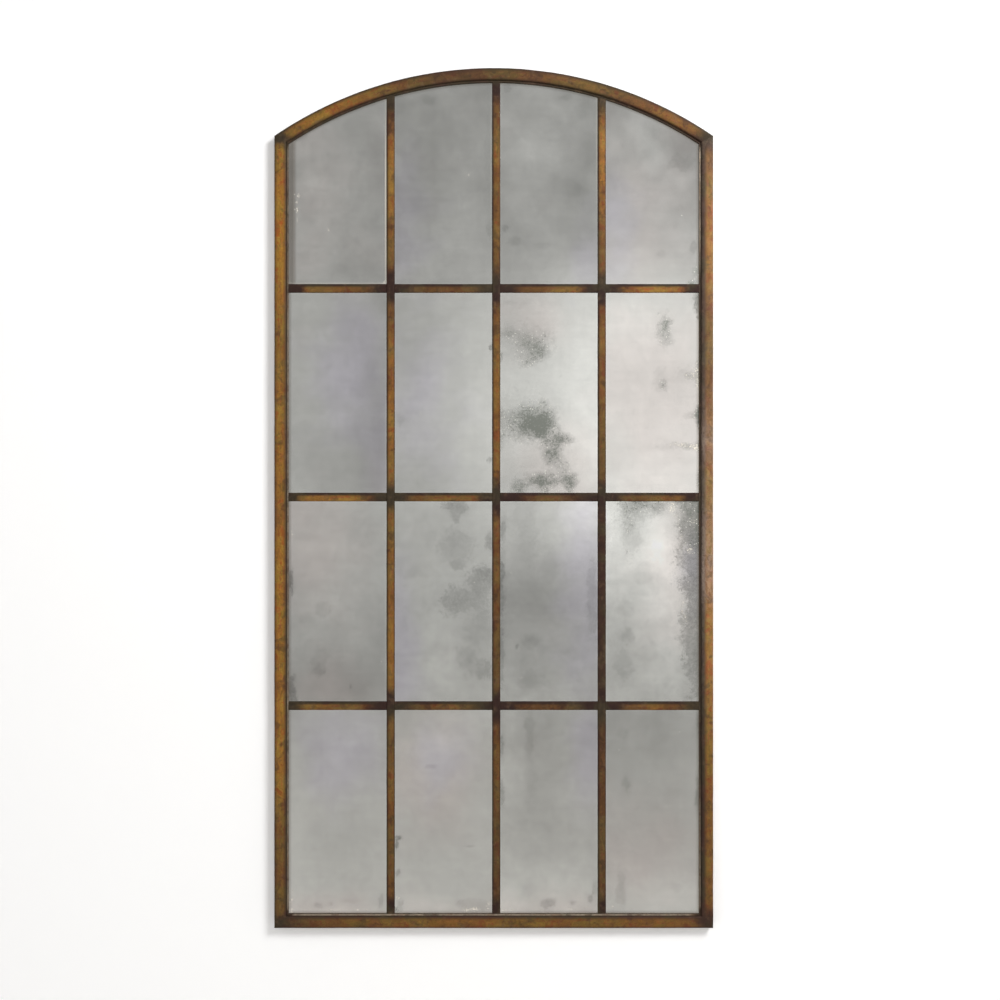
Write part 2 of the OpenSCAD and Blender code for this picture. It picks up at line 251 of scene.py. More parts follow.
# The camera looks straight at the mirror, a little right of its middle, from where the photo
# was taken. Its lens follows from how large the frame's front shows in the image.
view_scale = 0.0024289                # metres of the frame's front in one pixel of the image
view_pixels = 1000
eye = Vector((0.0152, -3.6, 1.0408))
camera = placed("camera", bpy.data.cameras.new("camera"))
camera.location = eye
camera.rotation_euler = (math.pi / 2, 0, 0)
camera.data.sensor_width = 36
camera.data.lens = camera.data.sensor_width * (cad_low.y - eye.y) / (view_scale * view_pixels)
bpy.context.scene.camera = camera


# The frame: square steel tube, mitred and welded at its four corners, its arch rolled to one
# radius. It is forged a little uneven and wears a rubbed patina, dark at the edges and welds.
low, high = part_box("left_stile")
half_w = -low.x
side_h = high.z
front_y = low.y
back_y = high.y
tube_face = high.x - low.x
inner_half_w = half_w - tube_face
arch_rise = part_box("arch_rail")[1].z - side_h
arch_r = (half_w**2 + arch_rise**2) / (2 * arch_rise)
arch_z = side_h + arch_rise - arch_r
inner_r = arch_r - tube_face


def arch_height(radius, across):
    """Height of an arc about the arch's centre, at a distance from the middle."""
    return arch_z + np.sqrt(radius**2 - across**2)


inner_corner_z = float(arch_height(inner_r, inner_half_w))
mitre_slope = (side_h - inner_corner_z) / tube_face


def node_group(name, kind, inputs, outputs):
    """A node group and its inputs' wires. An input is given by its value, or by its kind."""
    tree = bpy.data.node_groups.new(name, kind)
    kinds = {float: "Float", tuple: "Color"}
    for label, value in inputs.items():
        sort = kinds.get(type(value), value)
        socket = tree.interface.new_socket(label, in_out="INPUT", socket_type=f"NodeSocket{sort}")
        if type(value) in kinds:
            socket.default_value = value
    for label, sort in outputs.items():
        tree.interface.new_socket(label, in_out="OUTPUT", socket_type=f"NodeSocket{sort}")
    return tree, put(tree, "NodeGroupInput")


def vector(tree, x=0.0, y=0.0, z=0.0):
    """Three numbers or wires as one."""
    return put(tree, "ShaderNodeCombineXYZ", {0: x, 1: y, 2: z})


def swing(value, reach):
    """Noise about nought, with this reach from end to end."""
    return (value - 0.5) * reach


# One tree makes every bar: it sweeps a rounded section along X with its front at -Y, crowns
# and dents the front, slants the ends and may bend the bar upwards about a radius.
BAR_SIZES = {"Length": 1.0, "Width": 0.02, "Thickness": 0.004, "Front Radius": 0.001,
             "Back Radius": 0.0002, "Station": 0.006, "Start Slant": 0.0, "End Slant": 0.0,
             "Bend Radius": 0.0, "Crown": 0.0, "Wave": 0.0, "Dent": 0.0, "Seed": 0.0}
corner_points = 5
front_cuts = 7
end_fade = 0.012                      # the dents die away this near to an end
swell_scale = 11.0                    # lumps in a metre
pit_scale = 75.0
seed_shift = 3.7                      # how far apart in the noise two bars are

swept_bar, given = node_group("swept_bar", "GeometryNodeTree", {**BAR_SIZES, "Finish": "Material"},
                              {"Bar": "Geometry"})
tree = swept_bar
line = put(tree, "GeometryNodeCurvePrimitiveLine", {"End": vector(tree, given["Length"])})
rows = (given["Length"] / given["Station"]).step("CEIL") + 1.0
path = put(tree, "GeometryNodeResampleCurve", {"Curve": line, "Count": rows})
section = put(tree, "GeometryNodeCurvePrimitiveQuadrilateral",
              {"Width": given["Thickness"], "Height": given["Width"]})
point = put(tree, "GeometryNodeInputIndex")
is_front = abs(point - 1.5) > 1.0
radius = put(tree, "GeometryNodeSwitch", {0: is_front, 1: given["Back Radius"], 2: given["Front Radius"]},
             input_type="FLOAT")
rounded = put(tree, "GeometryNodeFilletCurve",
              {"Curve": section, "Count": corner_points - 1, "Radius": radius}, mode="POLY")
is_face = point > 4 * corner_points - 1.5
is_last = point % float(corner_points) > corner_points - 1.5
cuts = (is_face * (front_cuts - 1.0) + 1.0) * is_last
outline = put(tree, "GeometryNodeSubdivideCurve", {"Curve": rounded, "Cuts": cuts})
shape = put(tree, "GeometryNodeCurveToMesh", {"Curve": path, "Profile Curve": outline, "Fill Caps": True})
seat = vector(tree, y=given["Thickness"] * -0.5)
shape = put(tree, "GeometryNodeSetPosition", {"Geometry": shape, "Offset": seat})

spot = put(tree, "GeometryNodeInputPosition")
x, y, z = put(tree, "ShaderNodeSeparateXYZ", {0: spot})
half_width = given["Width"] * 0.5
side = z / half_width
depth = y * -1.0 / given["Thickness"]
to_end = x.step("MINIMUM", given["Length"] - x)
uneven = (depth * 3.0).step("MINIMUM", 1.0) * ramp(to_end, 0.0, end_fade)
shift = vector(tree, given["Seed"] * seed_shift)
place = put(tree, "ShaderNodeVectorMath", {0: spot, 1: shift}, operation="ADD")
swell = swing(noise(place, swell_scale, 1.0), given["Wave"])
pits = swing(noise(place, pit_scale, 2.0), given["Dent"])
outwards = put(tree, "GeometryNodeInputNormal")
beaten = put(tree, "ShaderNodeVectorMath", {0: outwards, "Scale": (swell + pits) * 2.0 * uneven},
             operation="SCALE")
crown = vector(tree, y=(1.0 - side * side) * depth * (given["Crown"] * -1.0))
surface = put(tree, "ShaderNodeVectorMath", {0: beaten, 1: crown}, operation="ADD")
shape = put(tree, "GeometryNodeSetPosition", {"Geometry": shape, "Offset": surface})

inward = half_width - z
gone = x / given["Length"]
slant = given["Start Slant"] * (1.0 - gone) - given["End Slant"] * gone
shape = put(tree, "GeometryNodeSetPosition", {"Geometry": shape, "Offset": vector(tree, inward * slant)})

for label, value in {"along": x, "across": z, "side": side}.items():
    shape = put(tree, "GeometryNodeStoreNamedAttribute", {"Geometry": shape, "Name": label, "Value": value},
                data_type="FLOAT", domain="POINT")
turn = (x - given["Length"] * 0.5) / given["Bend Radius"]
from_axis = given["Bend Radius"] - inward
bent = vector(tree, from_axis * turn.step("SINE"), y, from_axis * turn.step("COSINE"))
final = put(tree, "GeometryNodeSwitch", {0: given["Bend Radius"] > 0.0, 1: spot, 2: bent},
            input_type="VECTOR")
shape = put(tree, "GeometryNodeSetPosition", {"Geometry": shape, "Position": final})
shape = put(tree, "GeometryNodeSetShadeSmooth", {"Geometry": shape})
shape = put(tree, "GeometryNodeRealizeInstances", {"Geometry": shape})
shape = put(tree, "GeometryNodeSetMaterial", {"Geometry": shape, "Material": given["Finish"]})
put(tree, "NodeGroupOutput", {0: shape})


def grown(name, tree, values, start=None):
    """Runs a geometry tree with these inputs and gives the plain mesh as an object."""
    seed = placed(name, start or bpy.data.meshes.new(name))
    modifier = seed.modifiers.new("grow", "NODES")
    modifier.node_group = tree
    for item in tree.interface.items_tree:
        if item.in_out == "INPUT" and item.name in values:
            modifier[item.identifier] = values[item.name]
    evaluated = seed.evaluated_get(bpy.context.evaluated_depsgraph_get())
    mesh = bpy.data.meshes.new_from_object(evaluated)
    seed.modifiers.clear()
    seed.data = mesh
    mesh.name = name
    return seed


def read_values(mesh, label):
    """A number for each vertex, from the mesh's own attribute."""
    values = np.empty(len(mesh.vertices), np.float32)
    mesh.attributes[label].data.foreach_get("value", values)
    return values


def write_values(mesh, label, values):
    """Keeps a number for each vertex as an attribute that materials read."""
    attribute = mesh.attributes.get(label) or mesh.attributes.new(label, "FLOAT", "POINT")
    attribute.data.foreach_set("value", np.asarray(values, np.float32))


def titled(values):
    """Plain names turned into the names of sockets."""
    return {label.replace("_", " ").title(): value for label, value in values.items()}


def fitted(piece, node, slot):
    """Puts a finished piece on the frame's body in place of a CAD node."""
    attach(piece, "frame")
    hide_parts(node)


def at(x, y, z, degrees=0.0):
    """A place for a bar that runs along X, turned about Y. -90 makes it run upwards."""
    return Matrix.Translation((x, y, z)) @ Matrix.Rotation(math.radians(degrees), 4, "Y")


def steel_piece(name, node, slot, place, rub, finish, lean=0.0, painted_sheen=((0, 0),), crossings=(), **sizes):
    """One bar in its place. Rub, painted sheen and crossings are given along the bar, from its start.

    Lean moves the rubbed middle outwards, as a share of half the width.
    """
    values = {label: float(value) for label, value in titled(sizes).items()}
    bar = grown(name, swept_bar, {**values, "Finish": finish})
    along = read_values(bar.data, "along")
    welds = np.array([0, sizes["length"], *crossings])
    write_values(bar.data, "weld", np.min(np.abs(along[:, None] - welds[None, :]), axis=1))
    write_values(bar.data, "rim", np.abs(read_values(bar.data, "side") - lean))
    for label, stops in (("rub", rub), ("painted_sheen", painted_sheen)):
        write_values(bar.data, label, np.interp(along, *zip(*stops)))
    bar.data.transform(place)
    fitted(bar, node, slot)


# The patina: gold-brown where the steel is rubbed bright, nearly black at the edges and
# round the welds. Shared by the frame, the lips and the glazing bars.
PATINA = {"Rim Start": 0.35, "Rim End": 1.1, "Weld Reach": 0.05, "Gold": paint(192, 134, 50),
          "Olive": paint(170, 130, 54), "Russet": paint(162, 98, 54), "Copper": paint(176, 88, 36),
          "Dark": paint(62, 42, 33)}
dark_olive = paint(58, 48, 33)
grime = paint(104, 82, 62)
sheen_pale = paint(190, 172, 156)
# the pale of a painted highlight, the lamp's sheen on the right stile
metal_dark = 0.2
metal_bright = 0.5

patina, given = node_group("patina", "ShaderNodeTree", PATINA,
                           {"Color": "Color", "Bright": "Float", "Roughness": "Float", "Height": "Float"})
place = put(patina, "ShaderNodeTexCoord")["Object"]


def stored(tree, label):
    """A number that the mesh carries at each vertex."""
    return put(tree, "ShaderNodeAttribute", attribute_name=label)["Fac"]


def shaded(colour, tone):
    """A colour made darker or lighter by a number."""
    grey = put(tone.tree, "ShaderNodeCombineColor", {0: tone, 1: tone, 2: tone})
    return put(tone.tree, "ShaderNodeMix", {0: 1.0, 6: colour, 7: grey}, data_type="RGBA",
               blend_type="MULTIPLY")[2]


lumps = noise(place, 14.0, 4.0, 0.6)
smudges = noise(place, 36.0, 3.0, 0.6, 0.6)
specks = noise(place, 420.0, 3.0, 0.6)


def drawn(along_scale, across_scale):
    """A place on the bar that stretches patterns along it."""
    return vector(patina, stored(patina, "along") * along_scale, stored(patina, "across") * across_scale,
                  lumps * 0.3)


mottle = noise(drawn(0.4, 1.0), 80.0, 5.0, 0.65)
streaks = noise(drawn(0.15, 2.0), 75.0, 4.0, 0.65)
worn_rim = ramp(stored(patina, "rim") + swing(mottle, 0.7), given["Rim Start"], given["Rim End"], 1.0, 0.0)
weld_edge = stored(patina, "weld") + swing(lumps, 0.06)
off_weld = ramp(weld_edge, given["Weld Reach"] * 0.35, given["Weld Reach"])
patchy = ramp(lumps * 0.6 + streaks * 0.4, 0.34, 0.62, 0.45, 1.1) * ramp(smudges, 0.52, 0.68, 1.0, 0.45)
bright = worn_rim * off_weld * stored(patina, "rub") * patchy
hue = mixed(ramp(lumps, 0.42, 0.6), given["Gold"], given["Olive"])
hue = mixed(ramp(streaks, 0.5, 0.64, 0.0, 0.9), hue, given["Russet"])
hue = mixed(ramp(smudges, 0.44, 0.34, 0.0, 0.7), hue, given["Copper"])
dark = mixed(ramp(lumps, 0.42, 0.58), given["Dark"], dark_olive)
colour = mixed(bright, dark, hue)
colour = mixed(ramp(noise(place, 60.0, 3.0, 0.6), 0.54, 0.7, 0.0, 0.3), colour, grime)
# A painted highlight: paler where the lamp's sheen lies on the right stile
colour = mixed(stored(patina, "painted_sheen") * ramp(mottle, 0.35, 0.6, 0.7, 1.2), colour, sheen_pale)
colour = shaded(colour, ramp(specks, 0.3, 0.7, 0.9, 1.08) * ramp(mottle, 0.34, 0.66, 0.8, 1.2))
rough = ramp(bright, 0.0, 1.0, 0.62, 0.42) + swing(specks, 0.16)
height = mottle * 0.7 + specks * 0.3
put(patina, "NodeGroupOutput", {"Color": colour, "Bright": bright, "Roughness": rough, "Height": height})


def finished(material, height, depth, sockets):
    """Gives a material its surface: a shader with these sockets over a bump of this depth."""
    tree = material.node_tree
    bump = put(tree, "ShaderNodeBump", {"Strength": 1.0, "Distance": depth, "Height": height})
    shader = put(tree, "ShaderNodeBsdfPrincipled", {**sockets, "Normal": bump})
    put(tree, "ShaderNodeOutputMaterial", {"Surface": shader})
    return material


def steel_material(name, bump_depth, **settings):
    """A steel finish with the shared patina at its own settings."""
    material, tree = new_material(name)
    finish = put(tree, "ShaderNodeGroup", titled(settings), node_tree=patina)
    metallic = ramp(finish["Bright"], 0.0, 1.0, metal_dark, metal_bright)
    return finished(material, finish["Height"], bump_depth,
                    {"Base Color": finish["Color"], "Roughness": finish["Roughness"],
                     "Metallic": metallic, "Specular IOR Level": 0.25})


frame_steel = steel_material("frame_steel", 0.0004)

crown_rise = 0.0007
tube_sizes = {"width": tube_face, "thickness": back_y - front_y - crown_rise, "front_radius": 0.0032,
              "back_radius": 0.0028, "crown": crown_rise, "wave": 0.0005, "dent": 0.0001}
outer_turn = math.asin(half_w / arch_r)
inner_turn = math.atan2(inner_half_w, inner_corner_z - arch_z)
arch_slant = arch_r * (outer_turn - inner_turn) / tube_face
arch_length = 2 * arch_r * outer_turn
mid_half_w = half_w - tube_face / 2
# How bright each member is rubbed, in metres along it from its start
LEFT_RUB = [(0, 0.3), (0.25, 0.42), (0.35, 0.8), (0.75, 0.85), (0.9, 0.95), (1.0, 0.7), (1.15, 0.8),
            (1.44, 0.6), (1.52, 0.78), (1.68, 1.0), (1.8, 0.9), (1.92, 0.6)]
RIGHT_RUB = [(0, 0.35), (0.1, 0.42), (0.2, 0.62), (0.31, 0.62), (0.45, 0.36), (0.58, 0.34), (0.79, 0.62),
             (0.9, 0.5), (1.1, 0.75), (1.25, 0.78), (1.35, 0.6), (1.45, 0.52), (1.7, 0.46), (1.92, 0.36)]
BOTTOM_RUB = [(0, 0.25), (0.12, 0.46), (0.17, 0.5), (0.25, 0.4), (0.5, 0.44), (0.6, 0.52), (0.8, 0.4),
              (0.92, 0.36), (1.0, 0.16), (1.06, 0.12)]
ARCH_RUB = [(0, 0.4), (0.11, 0.74), (0.24, 0.48), (0.37, 0.22), (0.5, 0.13), (0.63, 0.24), (0.77, 0.32),
            (0.9, 0.26), (1.03, 0.46), (1.13, 0.3)]
# Where the right stile is paled by a painted highlight, the lamp's sheen on it, given likewise
RIGHT_PAINTED_SHEEN = [(0, 0.05), (0.6, 0.05), (0.7, 0.14), (0.74, 0.25), (0.8, 0.1), (0.9, 0.14), (1.04, 0.28),
              (1.1, 0.25), (1.16, 0.08), (1.5, 0.0)]

steel_piece("stile_left_forged", "left_stile", "frame_steel", at(-mid_half_w, back_y, 0, -90), LEFT_RUB,
            frame_steel, length=side_h, start_slant=1, end_slant=mitre_slope, seed=1, **tube_sizes)
# The right stile's lean shifts its rubbed middle outwards, so its inner half is darker: painted shade, on the
# side turned away from the light on the right
steel_piece("stile_right_forged", "right_stile", "frame_steel", at(mid_half_w, back_y, side_h, 90),
            RIGHT_RUB, frame_steel, lean=0.42, painted_sheen=RIGHT_PAINTED_SHEEN, length=side_h, start_slant=mitre_slope,
            end_slant=1, seed=2, **tube_sizes)
steel_piece("bottom_rail_forged", "bottom_rail", "frame_steel", at(half_w, back_y, tube_face / 2, 180),
            BOTTOM_RUB, frame_steel, lean=0.1, length=2 * half_w, start_slant=1, end_slant=1, seed=3,
            **tube_sizes)
steel_piece("arch_rail_forged", "arch_rail", "frame_steel", at(0, back_y, arch_z), ARCH_RUB, frame_steel,
            lean=-0.12, length=arch_length, start_slant=arch_slant, end_slant=arch_slant,
            bend_radius=arch_r, seed=4, **tube_sizes)


# The lips: thin flat steel strips welded inside the frame, set back level with the glazing
# bars. The panes rest against their backs.
lip_low, lip_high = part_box("left_lip")
lip_w = lip_high.x - lip_low.x
lip_back_y = lip_high.y
lip_steel = steel_material("lip_steel", 0.0002, gold=paint(196, 180, 160), olive=paint(180, 166, 146),
                           russet=paint(150, 126, 102), copper=paint(160, 134, 112),
                           dark=paint(64, 48, 37), rim_start=0.45, rim_end=1.15, weld_reach=0.02)
lip_sizes = {"width": lip_w, "thickness": lip_high.y - lip_low.y, "front_radius": 0.0006,
             "back_radius": 0.0002, "wave": 0.0002, "dent": 0.00005}
lip_mid = inner_half_w - lip_w / 2
lip_inner_corner_z = side_h - (tube_face + lip_w) * mitre_slope
lip_turn = math.atan2(inner_half_w - lip_w, lip_inner_corner_z - arch_z)
arch_lip_slant = inner_r * (inner_turn - lip_turn) / lip_w
side_lip_length = inner_corner_z - tube_face
# How bright each side lip is rubbed along it from its start, with light and shade painted in: the right lip
# is kept dark over most of its length, painted shade where the frame's tube shades it from the light on the
# right, while the left lip stays lighter where the light falls
LEFT_LIP_RUB_AND_LIGHT = [(0, 0.45), (1.45, 0.45), (1.52, 0.3), (1.9, 0.3)]
RIGHT_LIP_RUB_AND_SHADE = [(0, 0.7), (0.25, 0.5), (0.33, 0.04), (1.5, 0.04), (1.65, 0.35), (1.9, 0.4)]

steel_piece("lip_left_strip", "left_lip", "lip_steel", at(-lip_mid, lip_back_y, tube_face, -90),
            LEFT_LIP_RUB_AND_LIGHT, lip_steel, lean=-0.4, length=side_lip_length, start_slant=1,
            end_slant=mitre_slope, seed=5, **lip_sizes)
steel_piece("lip_right_strip", "right_lip", "lip_steel", at(lip_mid, lip_back_y, inner_corner_z, 90),
            RIGHT_LIP_RUB_AND_SHADE, lip_steel, length=side_lip_length, start_slant=mitre_slope, end_slant=1, seed=6,
            **lip_sizes)
steel_piece("lip_bottom_strip", "bottom_lip", "lip_steel",
            at(inner_half_w, lip_back_y, tube_face + lip_w / 2, 180), [(0, 0.8), (1, 0.8)], lip_steel,
            length=2 * inner_half_w, start_slant=1, end_slant=1, seed=7, **lip_sizes)
# The arch lip is kept dark all along: painted shade, where the arch shades it from the light above
steel_piece("lip_arch_strip", "arch_lip", "lip_steel", at(0, lip_back_y, arch_z), [(0, 0), (1, 0)],
            lip_steel, length=2 * inner_r * inner_turn, start_slant=arch_lip_slant,
            end_slant=arch_lip_slant, bend_radius=inner_r, seed=8, **lip_sizes)


# The glazing bars: three flat bars run from the bottom lip to the arch, and twelve short
# ones are butted and brazed between them. The braze leaves each crossing nearly black.
bar_steel = steel_material("bar_steel", 0.0003, gold=paint(198, 138, 54), olive=paint(172, 130, 56),
                           russet=paint(164, 96, 54), dark=paint(50, 31, 25), rim_start=0.42,
                           rim_end=1.05, weld_reach=0.055)
ROWS = 4
# How bright each upright is rubbed, in metres from its foot up
UPRIGHT_RUB = {
    "left": [(0, 0.27), (0.18, 0.27), (0.3, 0.4), (0.42, 0.25), (0.55, 0.5), (0.65, 0.66), (0.8, 0.5),
             (0.92, 0.42), (1.05, 0.42), (1.2, 0.6), (1.35, 0.55), (1.44, 0.35), (1.56, 0.25),
             (1.65, 0.43), (1.72, 0.6), (1.85, 0.62), (1.93, 0.3)],
    "middle": [(0, 0.17), (0.18, 0.18), (0.4, 0.3), (0.55, 0.2), (0.68, 0.25), (0.92, 0.32), (1.05, 0.42),
               (1.28, 0.5), (1.4, 0.4), (1.56, 0.22), (1.65, 0.36), (1.77, 0.34), (1.83, 0.44),
               (1.98, 0.22)],
    "right": [(0, 0.1), (0.08, 0.2), (0.4, 0.18), (0.5, 0.03), (0.95, 0.03), (1.06, 0.2), (1.16, 0.25),
              (1.28, 0.35), (1.4, 0.38), (1.56, 0.28), (1.65, 0.32), (1.77, 0.55), (1.83, 0.7),
              (1.9, 0.55), (1.96, 0.3)]}
# How bright each crossbar is rubbed near its left end, at its middle and near its right end,
# by row from the top
CROSSBAR_RUB = [[(0.38, 0.37, 0.26), (0.16, 0.27, 0.18), (0.18, 0.34, 0.48), (0.45, 0.65, 0.48)],
                [(0.6, 0.75, 0.34), (0.28, 0.38, 0.38), (0.09, 0.26, 0.04), (0.17, 0.29, 0.35)],
                [(0.5, 0.4, 0.22), (0.12, 0.4, 0.08), (0.22, 0.23, 0.06), (0.19, 0.42, 0.27)]]
CROSSBAR_STOPS = (0.15, 0.5, 0.85)    # where those places are, as shares of its length
bar_sizes = {"front_radius": 0.0015, "back_radius": 0.0001, "crown": 0.0003, "wave": 0.0005,
             "dent": 0.00012, "station": 0.005}
crossing_z = [sum(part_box(f"crossbar_row{row}_col1")[end].z for end in (0, 1)) / 2 for row in range(1, ROWS)]

for number, (side, rub) in enumerate(UPRIGHT_RUB.items()):
    low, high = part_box(f"upright_bar_{side}")
    tops = [float(arch_height(inner_r - lip_w, edge)) for edge in (low.x, high.x)]
    steel_piece(f"glazing_upright_{side}", f"upright_bar_{side}", "bar_steel",
                at((low.x + high.x) / 2, high.y, low.z, -90), rub, bar_steel, lean=-0.12,
                crossings=[z - low.z for z in crossing_z], length=tops[0] - low.z, width=high.x - low.x,
                thickness=high.y - low.y - bar_sizes["crown"],
                end_slant=(tops[0] - tops[1]) / (high.x - low.x), seed=10 + number, **bar_sizes)
for row, rubs in enumerate(CROSSBAR_RUB, 1):
    for column, rub in enumerate(rubs, 1):
        low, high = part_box(f"crossbar_row{row}_col{column}")
        length = high.x - low.x
        stops = [(share * length, level) for share, level in zip(CROSSBAR_STOPS, rub)]
        steel_piece(f"glazing_crossbar_{row}_{column}", f"crossbar_row{row}_col{column}", "bar_steel",
                    at(low.x, high.y, (low.z + high.z) / 2), stops, bar_steel, lean=-0.38, length=length,
                    width=high.z - low.z, thickness=high.y - low.y - bar_sizes["crown"],
                    seed=20 + 4 * row + column, **bar_sizes)


# The panes: sixteen pieces of 3 mm mirror glass whose silver was etched from behind, so it is
# clouded all over and eaten into grey foxing in places. Their edges lie behind the bars.
COLUMNS = 4
# How bright each pane is, by row from the top: partly the silver's own tone, partly a painted reflection, the
# room's bright and dim zones as each pane's tilt catches them
SILVER_AND_REFLECTION = [[0.86, 0.76, 0.68, 0.68], [0.96, 0.96, 0.98, 0.98], [1.02, 0.96, 0.8, 0.98],
          [0.92, 0.9, 0.8, 0.74]]
# How strongly the silver of each pane is mottled, likewise
MOTTLE = [[0.28, 0.25, 0.25, 0.2], [0.18, 0.2, 0.27, 0.2], [0.2, 0.26, 0.36, 0.42],
          [0.23, 0.25, 0.32, 0.23]]
# The marks are given by pane (row, column), each with its middle in millimetres from the left
# and bottom of the part that shows, its half width and half height, and how strong it is.
# Clouds: wide soft spots that are brighter or darker, partly real clouding of the silver and partly a painted
# reflection of the room's bright zones
CLOUDS_AND_REFLECTIONS = {
    (1, 1): [(10, 220, 70, 230, 0.1), (225, 250, 50, 130, -0.12), (55, 240, 30, 20, 0.1),
             (130, 30, 60, 30, -0.05)],
    (1, 2): [(110, 100, 60, 60, 0.1), (200, 40, 60, 30, 0.05), (10, 30, 25, 25, 0.08),
             (215, 170, 40, 160, -0.04)],
    (1, 3): [(50, 390, 90, 110, 0.2), (60, 250, 70, 60, 0.06), (180, 10, 80, 45, 0.16),
             (215, 330, 40, 120, -0.06), (165, 190, 50, 80, -0.09)],
    (1, 4): [(15, 60, 50, 80, 0.09), (110, 0, 150, 70, 0.22), (20, 250, 60, 130, 0.1),
             (215, 340, 50, 50, -0.2), (225, 90, 25, 120, -0.04)],
    (2, 1): [(10, 40, 40, 70, 0.1), (228, 300, 20, 60, 0.09), (228, 470, 25, 30, -0.12),
             (20, 320, 80, 130, 0.12), (235, 250, 60, 330, -0.22), (190, 60, 40, 100, -0.1)],
    (2, 2): [(0, 460, 70, 60, -0.12), (220, 180, 60, 90, 0.1)],
    (2, 3): [(215, 230, 70, 160, 0.18), (50, 245, 50, 30, 0.06), (20, 420, 60, 60, -0.1),
             (20, 30, 60, 45, -0.12), (70, 215, 40, 30, 0.08)],
    (2, 4): [(60, 420, 70, 50, 0.13), (120, 0, 160, 80, 0.15), (130, 270, 70, 40, -0.07)],
    (3, 1): [(110, 330, 80, 90, 0.05), (130, 20, 170, 110, -0.26), (20, 150, 60, 100, -0.05),
             (230, 260, 30, 200, -0.08)],
    (3, 2): [(110, 20, 140, 60, 0.12), (10, 330, 50, 150, -0.03), (115, 220, 45, 90, 0.12),
             (20, 130, 40, 60, 0.08)],
    (3, 3): [(215, 470, 80, 80, 0.34), (90, 240, 110, 100, -0.18), (10, 55, 45, 70, 0.16),
             (120, 10, 150, 50, 0.08), (225, 95, 30, 50, 0.06), (20, 420, 50, 60, 0.06)],
    (3, 4): [(15, 430, 40, 110, 0.3), (125, 380, 40, 60, 0.34), (140, 260, 40, 110, 0.18),
             (45, 130, 50, 90, -0.08), (226, 400, 26, 110, -0.12), (190, 210, 25, 90, 0.08),
             (5, 120, 25, 150, -0.06), (72, 340, 30, 35, 0.12), (172, 285, 20, 60, 0.1),
             (172, 130, 24, 70, 0.1), (108, 308, 24, 22, -0.08), (130, 252, 30, 14, 0.07),
             (105, 216, 36, 18, 0.06), (120, 182, 30, 9, -0.06)],
    (4, 1): [(100, 440, 120, 110, 0.12), (130, 190, 80, 70, -0.08), (5, 250, 25, 250, 0.08),
             (120, 5, 140, 9, 0.08), (70, 270, 80, 50, 0.05)],
    (4, 2): [(100, 450, 140, 110, 0.17), (110, 190, 110, 60, -0.06), (90, 20, 110, 25, 0.12)],
    (4, 3): [(10, 400, 40, 90, 0.1), (120, 15, 160, 50, 0.19), (5, 20, 30, 40, 0.18),
             (5, 200, 40, 260, 0.05), (120, 210, 90, 60, -0.04), (150, 90, 130, 40, 0.09)],
    (4, 4): [(170, 95, 80, 40, 0.06), (140, 10, 150, 60, 0.28), (20, 100, 40, 60, 0.04),
             (190, 440, 80, 90, 0.06)],
}
